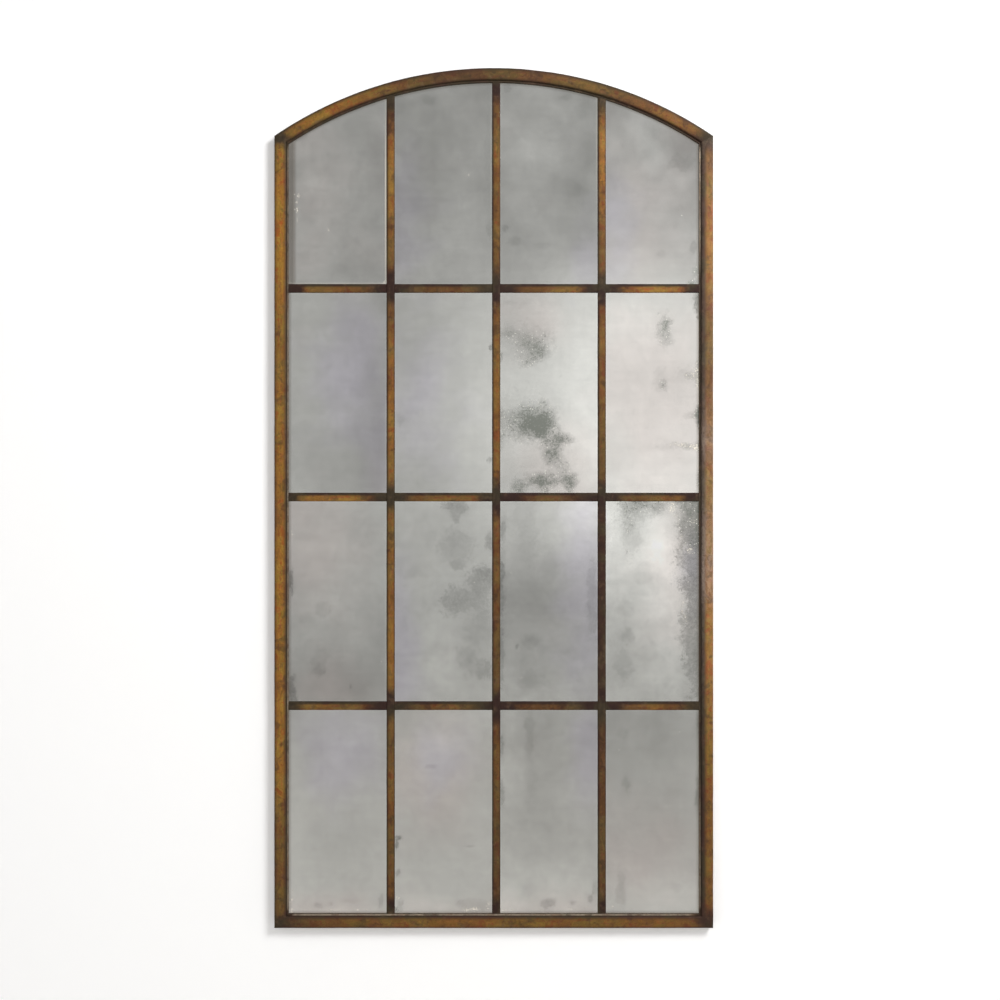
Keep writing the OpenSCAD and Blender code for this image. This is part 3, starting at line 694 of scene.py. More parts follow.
# Stains: soft grey patches where the etch went a little deeper
STAINS = {
    (1, 1): [(33, 357, 14, 12, 0.1), (20, 275, 20, 30, 0.08)],
    (1, 2): [(81, 450, 18, 12, 0.14), (232, 134, 8, 20, 0.2), (230, 300, 10, 150, 0.07)],
    (1, 3): [(12, 135, 10, 9, 0.2), (36, 104, 16, 9, 0.13), (100, 95, 20, 7, 0.08), (158, 453, 18, 8, 0.12),
             (18, 478, 12, 12, 0.15), (182, 227, 30, 14, 0.08)],
    (1, 4): [(181, 300, 26, 22, 0.16), (133, 74, 16, 8, 0.1), (212, 90, 8, 20, 0.2)],
    (2, 2): [(236, 353, 5, 8, 0.5), (14, 179, 12, 12, 0.12), (232, 79, 6, 6, 0.3)],
    (2, 3): [(60, 365, 70, 50, 0.14), (60, 190, 80, 60, 0.12), (120, 70, 70, 70, 0.1),
             (30, 470, 40, 16, 0.08)],
    (2, 4): [(143, 395, 20, 40, 0.14), (190, 265, 40, 45, 0.07), (229, 468, 11, 34, 0.6),
             (229, 188, 9, 26, 0.55), (138, 272, 18, 28, 0.12), (186, 292, 16, 12, 0.18),
             (208, 190, 15, 9, 0.14), (185, 114, 56, 8, 0.1), (218, 488, 14, 18, 0.16)],
    (3, 1): [(76, 76, 12, 12, 0.36), (72, 100, 22, 35, 0.12), (84, 225, 17, 16, 0.12),
             (41, 200, 22, 12, 0.1), (6, 290, 6, 25, 0.45), (8, 28, 9, 35, 0.4), (40, 400, 30, 10, 0.06),
             (152, 36, 3, 6, 0.2)],
    (3, 2): [(150, 474, 26, 18, 0.3), (148, 448, 12, 14, 0.24), (150, 378, 44, 36, 0.16),
             (140, 392, 14, 12, 0.2), (150, 333, 16, 10, 0.26), (220, 308, 36, 22, 0.42),
             (165, 245, 54, 30, 0.3), (205, 280, 34, 28, 0.24), (178, 100, 26, 30, 0.16),
             (214, 78, 22, 26, 0.26), (45, 313, 22, 14, 0.1), (208, 180, 30, 50, 0.12),
             (234, 385, 12, 24, 0.3)],
    (3, 3): [(66, 400, 22, 70, 0.12), (75, 250, 60, 44, 0.1), (72, 143, 22, 14, 0.16),
             (40, 135, 3, 5, 0.35), (78, 50, 30, 24, 0.14), (120, 320, 18, 40, 0.1),
             (224, 250, 12, 100, 0.2), (0, 270, 10, 80, 0.45), (0, 120, 8, 80, 0.25), (6, 420, 7, 24, 0.3)],
    (3, 4): [(222, 390, 46, 130, 0.44), (226, 170, 38, 150, 0.4), (224, 290, 42, 70, 0.6),
             (50, 228, 20, 18, 0.12), (50, 163, 16, 24, 0.2), (42, 86, 20, 40, 0.16),
             (62, 455, 36, 44, 0.2), (125, 470, 30, 16, 0.2), (62, 400, 24, 40, 0.16),
             (170, 498, 60, 10, 0.35), (92, 300, 26, 14, 0.1), (30, 290, 24, 8, 0.08)],
    (4, 1): [(74, 18, 10, 8, 0.18), (100, 24, 5, 5, 0.2), (226, 30, 7, 20, 0.18), (150, 30, 20, 6, 0.08)],
    (4, 2): [(8, 185, 9, 4, 0.6), (5, 168, 3, 12, 0.5), (8, 100, 6, 8, 0.3), (90, 357, 14, 5, 0.16),
             (183, 163, 8, 3, 0.14), (200, 18, 40, 14, 0.12), (162, 26, 15, 9, 0.2), (214, 12, 10, 8, 0.2),
             (14, 22, 8, 14, 0.2)],
    (4, 3): [(72, 425, 9, 60, 0.15), (70, 462, 10, 18, 0.2), (76, 300, 14, 60, 0.08),
             (68, 55, 16, 14, 0.08), (118, 25, 16, 12, 0.28), (176, 26, 8, 6, 0.22), (3, 410, 6, 30, 0.28),
             (3, 290, 6, 30, 0.25), (218, 36, 6, 10, 0.28), (232, 60, 6, 20, 0.2)],
    (4, 4): [(42, 437, 12, 14, 0.1), (50, 315, 9, 25, 0.17), (38, 60, 11, 40, 0.17),
             (170, 60, 12, 12, 0.08), (226, 285, 7, 40, 0.35), (226, 455, 6, 20, 0.3)],
}
# Foxing: frothy spots where the etch ate through
FOXING = {
    (1, 4): [(214, 30, 8, 14, 0.7), (212, 4, 12, 8, 0.7)],
    (2, 3): [(60, 375, 50, 30, 0.5), (90, 350, 34, 28, 0.72), (70, 318, 30, 16, 0.5),
             (22, 392, 18, 12, 0.45), (90, 165, 44, 36, 1.2), (60, 195, 46, 24, 0.5),
             (18, 150, 26, 44, 0.5), (105, 222, 12, 12, 0.55), (150, 128, 32, 14, 0.75),
             (126, 90, 24, 30, 0.8), (105, 28, 50, 20, 0.85), (168, 24, 18, 18, 0.8),
             (45, 18, 24, 16, 0.65), (160, 60, 18, 18, 0.5), (147, 284, 5, 6, 0.5), (2, 330, 6, 10, 0.6)],
    (2, 4): [(142, 412, 20, 20, 0.85), (144, 372, 14, 26, 0.6), (138, 266, 14, 16, 0.6),
             (200, 286, 16, 10, 0.65), (225, 290, 12, 30, 0.6), (226, 185, 12, 22, 0.75),
             (170, 118, 50, 10, 0.4), (210, 112, 28, 10, 0.45), (225, 30, 10, 26, 0.45),
             (228, 480, 10, 26, 0.4), (73, 450, 4, 4, 0.6)],
    (3, 4): [(62, 462, 34, 34, 0.5), (80, 478, 40, 12, 0.5), (50, 420, 18, 30, 0.4),
             (128, 470, 22, 14, 0.5), (205, 440, 30, 50, 0.5), (200, 470, 40, 24, 0.5),
             (212, 385, 24, 34, 0.5), (184, 300, 5, 170, 0.3), (190, 90, 14, 30, 0.4),
             (49, 362, 4, 6, 0.7)],
    (4, 2): [(6, 10, 6, 7, 0.7)],
}
# Tints: wide zones where the etched silver turned warm, and where it turned lilac
WARM = {
    (1, 1): [(60, 250, 140, 260, 0.5)],
    (1, 4): [(60, 150, 120, 260, 0.6), (200, 300, 50, 200, 0.4)],
    (2, 1): [(230, 60, 40, 120, 0.5)],
    (2, 3): [(60, 430, 100, 70, 0.7), (150, 60, 120, 100, 0.8)],
    (2, 4): [(130, 220, 160, 240, 1.0)],
    (3, 1): [(70, 380, 110, 150, 0.9), (100, 30, 120, 60, 0.7)],
    (3, 4): [(190, 330, 90, 170, 0.8)],
    (4, 1): [(120, 5, 150, 40, 0.8)],
    (4, 2): [(90, 350, 110, 150, 0.9), (120, 5, 150, 40, 0.6)],
    (4, 3): [(120, 5, 150, 40, 0.8)],
    (4, 4): [(90, 150, 140, 130, 0.8)],
}
LILAC = {
    (1, 2): [(20, 150, 60, 150, 0.8)],
    (1, 3): [(210, 60, 60, 120, 0.6)],
    (1, 4): [(20, 150, 60, 160, 0.6)],
    (2, 1): [(150, 300, 90, 160, 0.9), (230, 60, 40, 110, 0.6)],
    (2, 2): [(60, 250, 100, 240, 0.6)],
    (3, 2): [(10, 60, 60, 130, 0.8), (10, 280, 40, 120, 0.5)],
    (3, 3): [(215, 260, 70, 220, 0.9)],
    (3, 4): [(214, 330, 34, 110, 0.6)],
    (4, 1): [(120, 400, 90, 120, 0.9)],
    (4, 2): [(110, 380, 80, 110, 0.6)],
    (4, 3): [(220, 400, 50, 140, 0.8)],
}
# Glints: painted highlights, bright lines along a bar's edge where the bar's lit side shows in the glass
GLINTS = {
    (1, 1): [(240, 250, 12, 130, 1.0), (240, 60, 12, 90, 0.45), (120, 0, 130, 9, 0.3)],
    (2, 1): [(240, 170, 9, 120, 0.2)],
    (3, 1): [(240, 200, 9, 160, 0.25)],
    (1, 2): [(236, 320, 9, 150, 0.15)],
    (1, 3): [(236, 330, 9, 110, 0.3)],
}
# Frost: small bright flakes where the etch left bare glass over white paste
FROST = {
    (1, 1): [(20, 180, 6, 40, 0.5), (32, 215, 14, 5, 0.45), (95, 130, 4, 12, 0.5), (95, 70, 4, 40, 0.4),
             (22, 95, 5, 20, 0.35), (80, 270, 5, 30, 0.35)],
    (1, 2): [(178, 268, 8, 8, 0.45), (178, 34, 10, 6, 0.3)],
    (2, 4): [(205, 290, 26, 26, 0.38), (229, 270, 8, 60, 0.4), (180, 118, 50, 9, 0.38),
             (218, 108, 24, 10, 0.4), (229, 40, 8, 40, 0.4)],
    (3, 1): [(10, 400, 6, 50, 0.4), (80, 380, 20, 8, 0.25)],
    (3, 4): [(160, 470, 14, 22, 0.5), (185, 400, 9, 12, 0.38), (206, 365, 12, 14, 0.5),
             (195, 200, 8, 20, 0.35), (175, 436, 6, 16, 0.32), (214, 438, 12, 16, 0.4),
             (188, 235, 8, 26, 0.4)],
    (4, 1): [(7, 35, 7, 40, 0.45), (120, 7, 110, 4, 0.48), (58, 21, 12, 6, 0.3), (128, 20, 8, 6, 0.25),
             (215, 20, 14, 6, 0.28)],
    (4, 2): [(8, 35, 8, 12, 0.45), (90, 5, 60, 4, 0.4), (190, 10, 30, 8, 0.5), (228, 20, 6, 14, 0.4)],
    (4, 3): [(20, 8, 24, 6, 0.5), (170, 14, 9, 8, 0.45), (210, 10, 24, 8, 0.4), (150, 30, 4, 6, 0.4),
             (100, 10, 20, 7, 0.38)],
    (4, 4): [(15, 15, 14, 8, 0.42), (60, 12, 8, 8, 0.35), (228, 20, 10, 20, 0.4), (38, 28, 9, 12, 0.36)],
}
pane_cell = 0.006
arris = 0.0004                        # the edges are ground off this much
bow = 0.00012                         # old glass is this far from flat
pane_gap = 0.001                      # between the arch and the middle panes' tops
sealed_w = 0.012                      # a strip of the first pane's left edge is painted over
mm = 0.001
ragged = 0.25                         # how far a stain's edge wanders, as a share of its size
most_ragged = 4                       # and in millimetres at most
plain_silver = paint(220, 221, 217)
warm_silver = paint(226, 221, 217)
lilac_silver = paint(220, 218, 225)
stain_grey = paint(44, 50, 40)
rail_dirt_and_shade = paint(150, 136, 118)
fox_grey = paint(122, 126, 118)
fleck_white = paint(240, 240, 230)
# the cream of the painted glints, and of the frost flakes
glint_and_flake_cream = paint(243, 236, 221)

antiqued_mirror, tree = new_material("antiqued_mirror")
batch = stored(tree, "batch")
place = put(tree, "ShaderNodeTexCoord")["Object"]
shift = vector(tree, batch * 2.3, 0.0, batch * -1.7)
place = put(tree, "ShaderNodeVectorMath", {0: place, 1: shift}, operation="ADD")
clouds = noise(place, 6.0, 4.0, 0.55)
drifts = noise(place, 26.0, 5.0, 0.6, 0.4)
froth = noise(place, 140.0, 4.0, 0.7, 0.8)
grain = noise(place, 300.0, 2.0, 0.6)
flecks = put(tree, "ShaderNodeTexVoronoi", {"Vector": place, "Scale": 190.0})
picked = put(tree, "ShaderNodeSeparateColor", {0: flecks["Color"]})
edge = stored(tree, "edge")
rail = stored(tree, "rail")
stained = stored(tree, "stain")
frost = stored(tree, "frost")


def wiped(across, up, reach):
    """Faint strokes as a cloth leaves them, finer one way than the other."""
    stretched = put(place.tree, "ShaderNodeVectorMath", {0: place, 1: (across, 1.0, up)},
                    operation="MULTIPLY")
    return ramp(noise(stretched, 1.0, 3.0, 0.6), 0.3, 0.7, 1 - reach, 1 + reach)


depth = stored(tree, "foxing") + ramp(edge + swing(drifts, 0.03), 0.0, 0.012, 0.2, 0.0)
ate = ramp(depth + (swing(drifts, 0.6) + swing(froth, 0.5)), 0.25, 1.0) * ramp(depth, 0.02, 0.15)
holes = ramp(depth + (swing(froth, 1.1) + swing(grain, 1.5)), 0.66, 0.86) * ramp(depth, 0.08, 0.25)
fox = ate * 0.55 + holes * 0.4
patch = ramp(stained + (swing(drifts, 1.5) + swing(froth, 0.9)), 0.3, 0.68)
patch = (patch * 0.6 + stained * 0.45) * ramp(froth, 0.3, 0.7, 0.75, 1.2) * ramp(stained, 0.04, 0.2)
stain = patch * stored(tree, "stain_depth")
dots = ramp(flecks["Distance"], 0.18, 0.34, 1.0, 0.0) * ramp(picked, 0.5, 0.9)
dots = dots * ramp(depth + swing(drifts, 0.5), 0.2, 0.5) * ramp(ate, 0.5, 0.9, 1.0, 0.15)
dots = dots * ramp(depth, 0.03, 0.15)
strays = ramp(flecks["Distance"], 0.15, 0.3, 1.0, 0.0) * ramp(picked, 0.9985, 0.999)
dots = dots.step("MAXIMUM", strays)
# The tone carries a painted reflection: each pane's brightness and its clouds stand in for the room's bright
# and dim zones seen in the glass, over the silver's own clouding
tone = stored(tree, "silver") * ramp(clouds, 0.25, 0.75, 0.95, 1.04)
tone = tone * (swing(drifts, 1.0) * stored(tree, "mottle") + 1.0)
tone = tone * (wiped(60.0, 5.0, 0.007) * wiped(5.0, 50.0, 0.015))
# A painted highlight: the glass is brighter within about 4 mm of the bars and lips, where their sides show in
# it
tone = tone * ramp(edge, 0.001, 0.004, 1.1, 1.0)
# Darker beside the lips: dirt, and painted shade of the frame's side
tone = tone * ramp(rail, 0.0, 0.01, 0.8, 1.0) * ramp(rail, -0.002, 0.0, 0.78, 1.0)
warmth = stored(tree, "warm") + swing(noise(place, 8.0, 2.0), 1.0)
coolness = stored(tree, "lilac") + swing(noise(place, 9.0, 2.0), 1.0)
silver = mixed(ramp(warmth, 0.0, 1.0), plain_silver, warm_silver)
silver = shaded(mixed(ramp(coolness, 0.1, 1.0), silver, lilac_silver), tone)
# Browner beside the lips: dirt, and painted shade of the frame's side
colour = mixed(ramp(rail, 0.0, 0.008, 0.35, 0.0), mixed(stain, silver, stain_grey), rail_dirt_and_shade)
colour = mixed(dots, mixed(fox, colour, fox_grey), fleck_white)
# A painted highlight: a thin cream line beside a bar, the glint of its lit side
glinted = ramp(edge, 0.0034, 0.0046, 1.0, 0.0) * stored(tree, "scrape")
flaked = ramp(frost + (swing(froth, 1.2) + swing(grain, 0.8)), 0.36, 0.7) * ramp(frost, 0.05, 0.25)
glints_and_flakes = glinted.step("MAXIMUM", flaked)
roughness = ramp(clouds, 0.3, 0.7, 0.19, 0.262) + fox * 0.2
metallic = ramp(fox, 0.0, 1.0, 1.0, 0.8) * ramp(glints_and_flakes, 0.0, 1.0, 1.0, 0.3)
finished(antiqued_mirror, noise(place, 9.0, 1.0), 0.0004,
         {"Base Color": mixed(glints_and_flakes, colour, glint_and_flake_cream), "Roughness": roughness, "Metallic": metallic,
          "Coat Weight": 0.5, "Coat Roughness": 0.04})

# Where the glass shows: between the lips, the uprights and the crossbars
uprights = [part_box(f"upright_bar_{side}") for side in UPRIGHT_RUB]
crossbars = [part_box(f"crossbar_row{row}_col1") for row in range(1, ROWS)]
shown_left = [lip_w - inner_half_w] + [high.x for low, high in uprights]
shown_right = [low.x for low, high in uprights] + [inner_half_w - lip_w]
shown_bottom = [high.z for low, high in crossbars] + [tube_face + lip_w]
PANES = [(row, column) for row in range(1, ROWS + 1) for column in range(1, COLUMNS + 1)]


def spread(start, end, cell):
    """Stations from start to end about a cell apart, with one more just inside each end."""
    count = max(2, round((end - start - 2 * arris) / cell))
    return np.concatenate([[start], np.linspace(start + arris, end - arris, count + 1), [end]])


def pane_marks(row, column, number, grid_x, grid_z):
    """The numbers that the pane's material reads, over its grid."""
    left, right, bottom = shown_left[column - 1], shown_right[column - 1], shown_bottom[row - 1]
    arch = arch_height(inner_r - lip_w, grid_x)
    top = arch if row == 1 else crossbars[row - 2][0].z
    gap = np.minimum(np.minimum(grid_x - left, right - grid_x), np.minimum(grid_z - bottom, top - grid_z))
    # How far in from the lips each point lies: the glass darkens beside them, partly dirt and partly painted
    # shade where the frame's side shades the glass and shows in it
    rail = np.minimum(np.minimum(grid_x + inner_half_w, inner_half_w - grid_x) - lip_w,
                      grid_z - tube_face - lip_w)
    rail = np.minimum(rail, arch - grid_z)
    if number == 1:
        rail = np.minimum(rail, grid_x - left - sealed_w)
    # Two waves each way, by which the edges of stains and foxing wander
    wobble_x = np.sin(95 * grid_z + 3 * np.sin(40 * grid_x + number))
    wobble_x = wobble_x + 0.5 * np.sin(230 * grid_z - 150 * grid_x)
    wobble_z = np.sin(90 * grid_x - 3 * np.sin(45 * grid_z + number))
    wobble_z = wobble_z + 0.5 * np.sin(210 * grid_x + 160 * grid_z)
    nothing = np.zeros(grid_x.shape)

    def spots(table, wobble):
        """The strength of each mark listed for this pane, and its round or ragged shape."""
        for across, up, half_across, half_up, strength in table.get((row, column), []):
            reach = min(wobble * min(half_across, half_up), most_ragged)
            away_x = ((grid_x - left) / mm - across + reach * wobble_x) / half_across
            away_z = ((grid_z - bottom) / mm - up + reach * wobble_z) / half_up
            yield strength, np.exp(-0.7 * (away_x**2 + away_z**2))

    def total(table, wobble=0.0):
        """All marks of a kind, added up."""
        return sum((strength * shape for strength, shape in spots(table, wobble)), nothing)

    stains = [shape for strength, shape in spots(STAINS, ragged)]
    spared = [1 - strength * shape for strength, shape in spots(FOXING, ragged)]
    return {"edge": gap, "rail": rail, "batch": nothing + number,
            "silver": SILVER_AND_REFLECTION[row - 1][column - 1] + total(CLOUDS_AND_REFLECTIONS),
            "mottle": nothing + MOTTLE[row - 1][column - 1],
            "stain": np.max([nothing, *stains], axis=0),
            "stain_depth": total(STAINS, ragged) / sum(stains, nothing + 1e-6),
            "foxing": 1 - np.prod([nothing + 1, *spared], axis=0),
            "warm": total(WARM), "lilac": total(LILAC), "scrape": np.minimum(total(GLINTS), 1),
            "frost": np.minimum(total(FROST), 1)}


for number, (row, column) in enumerate(PANES, 1):
    # A fine grid in front, a plain back, and ground edges
    node = f"pane_row{row}_col{column}"
    low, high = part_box(node)
    top_gap = {1: low.x + inner_half_w, COLUMNS: inner_half_w - high.x}.get(column, pane_gap)
    xs = spread(low.x, high.x, pane_cell)
    tops = arch_height(inner_r - top_gap, xs) if row == 1 else np.full(len(xs), high.z)
    share = (spread(low.z, high.z, pane_cell) - low.z) / (high.z - low.z)
    grid_x = np.repeat(xs[None, :], len(share), axis=0)
    grid_z = low.z + share[:, None] * (tops[None, :] - low.z)
    rows, columns = grid_x.shape
    edges = np.ones(grid_x.shape)
    edges[1:-1, 1:-1] = 0
    lean = bow * (np.sin(grid_x * 17 + number) + np.sin(grid_z * 11 + 2 * number) + 2) / 2
    front = np.stack([grid_x, low.y + lean + edges * arris, grid_z], -1).reshape(-1, 3)
    index = np.arange(rows * columns).reshape(rows, columns)
    ring = [*index[0], *index[1:, -1], *index[-1, -2::-1], *index[-2:0:-1, 0]]
    back = front[ring].copy()
    back[:, 1] = high.y
    first = len(front)
    count = len(ring)
    cells = np.stack([index[:-1, :-1], index[:-1, 1:], index[1:, 1:], index[1:, :-1]], -1)
    faces = cells.reshape(-1, 4).tolist()
    faces += [(ring[k], first + k, first + (k + 1) % count, ring[(k + 1) % count]) for k in range(count)]
    faces.append(tuple(first + k for k in reversed(range(count))))
    mesh = bpy.data.meshes.new(node)
    mesh.from_pydata(np.concatenate([front, back]).tolist(), [], faces)
    mesh.materials.append(antiqued_mirror)
    for label, values in pane_marks(row, column, number, grid_x, grid_z).items():
        flat = values.reshape(-1)
        write_values(mesh, label, np.concatenate([flat, flat[ring]]))
    fitted(placed(f"mirror_pane_{row}_{column}", mesh), node, "antiqued_mirror")


# The foam tape: two white strips of soft double-sided foam hold each pane to the board. They
# are cut by hand and squeezed between glass and board, so their sides bulge and waver.
tape_front_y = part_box("foam_tape")[0].y
board_front_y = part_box("foam_tape")[1].y
tape_w = 0.019
tape_inset = 0.022
tape_end = 0.024
tape_bulge = 0.0003                   # each side wavers this far out of true
foam_white = paint(226, 224, 216)
foam_yellow = paint(212, 204, 184)
foam_pore = paint(150, 146, 136)

foam, tree = new_material("foam")
place = put(tree, "ShaderNodeTexCoord")["Object"]
cells = put(tree, "ShaderNodeTexVoronoi", {"Vector": place, "Scale": 900.0})["Distance"]
yellowed = noise(place, 30.0, 3.0)
colour = mixed(ramp(yellowed, 0.35, 0.7), foam_white, foam_yellow)
colour = mixed(ramp(cells, 0.1, 0.5, 0.35, 0.0), colour, foam_pore)
finished(foam, cells, 0.0002, {"Base Color": colour, "Sheen Weight": 0.2,
                               "Roughness": ramp(yellowed, 0.3, 0.7, 0.85, 0.95)})


def joined(name, meshes):
    """One object from several meshes, which are used up."""
    whole = bmesh.new()
    for mesh in meshes:
        whole.from_mesh(mesh)
    result = bpy.data.meshes.new(name)
    whole.to_mesh(result)
    whole.free()
    for material in meshes[0].materials:
        result.materials.append(material)
    for mesh in meshes:
        bpy.data.meshes.remove(mesh)
    return placed(name, result)


tape_sizes = {"Width": tape_w - 2 * tape_bulge, "Thickness": board_front_y - tape_front_y,
              "Front Radius": 0.0009, "Back Radius": 0.0009, "Station": 0.012, "Wave": 2 * tape_bulge,
              "Finish": foam}
strips = []
for row, column in PANES:
    low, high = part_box(f"pane_row{row}_col{column}")
    for left in (low.x + tape_inset, high.x - tape_inset - tape_w):
        far = max(abs(left), abs(left + tape_w))
        top = float(arch_height(inner_r - pane_gap, far)) if row == 1 else high.z
        strip = grown("strip", swept_bar, {**tape_sizes, "Length": top - low.z - 2 * tape_end,
                                           "Seed": 40.0 + len(strips)})
        strip.data.transform(at(left + tape_w / 2, board_front_y, low.z + tape_end, -90))
        strips.append(strip.data)
        bpy.data.objects.remove(strip)
fitted(joined("foam_tape_strips", strips), "foam_tape", "foam")


# The backing board: one sheet of brown fibreboard, sawn to the arch and laid in from behind.
# Its back is pressed, cloudy, and mottled with darker fibres and pale flecks.
board_brown = paint(158, 126, 88)
board_cloud = paint(140, 108, 72)
board_fibre = paint(108, 80, 52)
board_fleck = paint(188, 160, 120)

fibreboard, tree = new_material("fibreboard")
place = put(tree, "ShaderNodeTexCoord")["Object"]
fibres = noise(place, 160.0, 6.0, 0.75, 1.5)
flecks = noise(place, 700.0, 2.0, 0.6)
colour = mixed(ramp(noise(place, 5.0, 4.0, 0.6), 0.3, 0.7), board_brown, board_cloud)
colour = mixed(ramp(fibres, 0.45, 0.75, 0.0, 0.55), colour, board_fibre)
colour = mixed(ramp(flecks, 0.62, 0.8, 0.0, 0.5), colour, board_fleck)
finished(fibreboard, fibres * 0.7 + flecks * 0.3, 0.0003,
         {"Base Color": colour, "Roughness": ramp(fibres, 0.3, 0.7, 0.62, 0.8)})


def dress(node, material):
    """Gives a CAD node's object this material."""
    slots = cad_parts[node].material_slots
    for slot in slots:
        slot.material = material
    if not slots:
        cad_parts[node].data.materials.append(material)


dress("backing_board", fibreboard)


# The clips: sixteen small zinc-plated steel clips, blanked with rounded ends and edges. Each
# is held to the frame's back by one screw and reaches over the joint onto the board.
plating, given = node_group("plating", "ShaderNodeTree", {"Scale": 90.0},
                            {"Dull": "Float", "Scratches": "Float", "Tarnish": "Float"})
place = put(plating, "ShaderNodeTexCoord")["Object"]
scaled = put(plating, "ShaderNodeVectorMath", {0: place, "Scale": given["Scale"]}, operation="SCALE")
long_way = put(plating, "ShaderNodeMapping", {"Vector": scaled, "Scale": (2.0, 2.0, 40.0)})
put(plating, "NodeGroupOutput", {"Dull": noise(scaled, 1.0, 4.0, 0.6),
                                 "Scratches": ramp(noise(long_way, 1.0, 5.0, 0.7), 0.56, 0.72),
                                 "Tarnish": ramp(noise(scaled, 5.0, 5.0, 0.65), 0.5, 0.75)})


def plated(name, clean, dark, scratch, scale, smooth, rough):
    """A plated metal in two tones, scratched and a little tarnished."""
    material, tree = new_material(name)
    wear = put(tree, "ShaderNodeGroup", {"Scale": scale}, node_tree=plating)
    colour = mixed(ramp(wear["Dull"], 0.3, 0.7, 0.0, 0.6), clean, dark)
    colour = mixed(wear["Tarnish"] * 0.5, colour, dark)
    colour = mixed(wear["Scratches"] * 0.4, colour, scratch)
    roughness = ramp(wear["Dull"], 0.3, 0.7, smooth, rough) + wear["Tarnish"] * 0.15
    return finished(material, wear["Scratches"], 0.00005,
                    {"Base Color": colour, "Metallic": 1.0, "Roughness": roughness})


def smooth_mesh(mesh, degrees):
    """Smooth shading, with edges sharper than this left crisp."""
    mesh.shade_smooth()
    mesh.set_sharp_from_angle(angle=math.radians(degrees))


def faced(mesh, fill=False):
    """Turns a mesh's faces outwards, after closing its open ends if asked."""
    shell = bmesh.new()
    shell.from_mesh(mesh)
    if fill:
        bmesh.ops.holes_fill(shell, edges=[edge for edge in shell.edges if edge.is_boundary])
    bmesh.ops.recalc_face_normals(shell, faces=shell.faces)
    shell.to_mesh(mesh)
    shell.free()
    return mesh


def loft(name, rings, closed=False):
    """A mesh through rings of equal count. A ring of one point closes an end."""
    points, starts, faces = [], [], []
    for ring in rings:
        starts.append((len(points), len(ring)))
        points += [tuple(p) for p in ring]
    pairs = list(zip(starts, starts[1:] + starts[:1]))
    for (a, n), (b, m) in pairs if closed else pairs[:-1]:
        count = max(n, m)
        for k in range(count):
            after = (k + 1) % count
            corners = [a + k % n, a + after % n, b + after % m, b + k % m]
            faces.append(tuple(dict.fromkeys(corners)))
    mesh = bpy.data.meshes.new(name)
    mesh.from_pydata(points, [], faces)
    return faced(mesh)


def circle_ring(radius, y, sides=24, x=0.0, z=0.0):
    """Points round a circle that faces along Y."""
    turns = [2 * math.pi * k / sides for k in range(sides)]
    return [(x + radius * math.cos(t), y, z + radius * math.sin(t)) for t in turns]


clip_len = 0.036
clip_w = 0.014
clip_t = 0.0015
clip_edge = 0.00035
clip_flat = clip_w * 0.22             # how far the flat face reaches in towards the screw hole
screw_d = 0.004
hole_play = 0.00005
hole_r = screw_d / 2 + hole_play
CLIP_SIDES = 48
clip_strays = math.radians(2.5)       # how far the clips are off square, set by hand
zinc_plate = plated("zinc_plate", paint(190, 194, 198), paint(132, 136, 138), paint(222, 224, 226), 90.0,
                    0.32, 0.5)


def clip_ring(inset, y):
    """The clip's outline, drawn in by an inset, about its screw hole."""
    radius = clip_w / 2
    ring = []
    for k in range(CLIP_SIDES):
        turn = 2 * math.pi * k / CLIP_SIDES
        shift_x = clip_len - 2 * radius if math.cos(turn) > 1e-6 else 0.0
        ring.append((shift_x + (radius - inset) * math.cos(turn), y, (radius - inset) * math.sin(turn)))
    return ring


clip_rings = [clip_ring(inset, y) for inset, y in ((clip_edge, 0), (0, clip_edge), (0, clip_t - clip_edge),
                                                   (clip_edge, clip_t), (clip_flat, clip_t))]
hole_rings = [circle_ring(radius, y, CLIP_SIDES) for radius, y in (
    (hole_r + clip_edge, clip_t), (hole_r, clip_t - clip_edge), (hole_r, 0))]
clip_mesh = loft("clip", clip_rings + hole_rings, closed=True)

# One tree sets fasteners in their places: it puts a copy on every point, turned as the point
# says and by a little more at random, as they are set by hand.
fasteners, given = node_group("fasteners", "GeometryNodeTree",
                              {"Places": "Geometry", "Fastener": "Object", "Stray": 0.0, "Seed": "Int",
                               "Finish": "Material"}, {"Set": "Geometry"})
tree = fasteners
single = put(tree, "GeometryNodeObjectInfo", {"Object": given["Fastener"]})
stray = put(tree, "FunctionNodeRandomValue",
            {2: given["Stray"] * -1.0, 3: given["Stray"], "Seed": given["Seed"]}, data_type="FLOAT")[1]
turn = put(tree, "GeometryNodeInputNamedAttribute", {"Name": "turn"}, data_type="FLOAT")
way = put(tree, "FunctionNodeEulerToRotation", {0: vector(tree, y=turn + stray)})
shape = put(tree, "GeometryNodeInstanceOnPoints",
            {"Points": given["Places"], "Instance": single["Geometry"], "Rotation": way})
shape = put(tree, "GeometryNodeRealizeInstances", {"Geometry": shape})
shape = put(tree, "GeometryNodeSetMaterial", {"Geometry": shape, "Material": given["Finish"]})
put(tree, "NodeGroupOutput", {0: shape})


def fasten(name, node, slot, mesh, places, stray, finish, seed):
    """Sets copies of a fastener at places: x, y, z and turn."""
    points = bpy.data.meshes.new(name)
    points.from_pydata([place[:3] for place in places], [], [])
    write_values(points, "turn", [place[3] for place in places])
    fastener = bpy.data.objects.new("fastener", mesh)
    values = {"Fastener": fastener, "Stray": stray, "Seed": seed, "Finish": finish}
    piece = grown(name, fasteners, values, points)
    bpy.data.objects.remove(fastener)
    smooth_mesh(piece.data, 40)
    fitted(piece, node, slot)


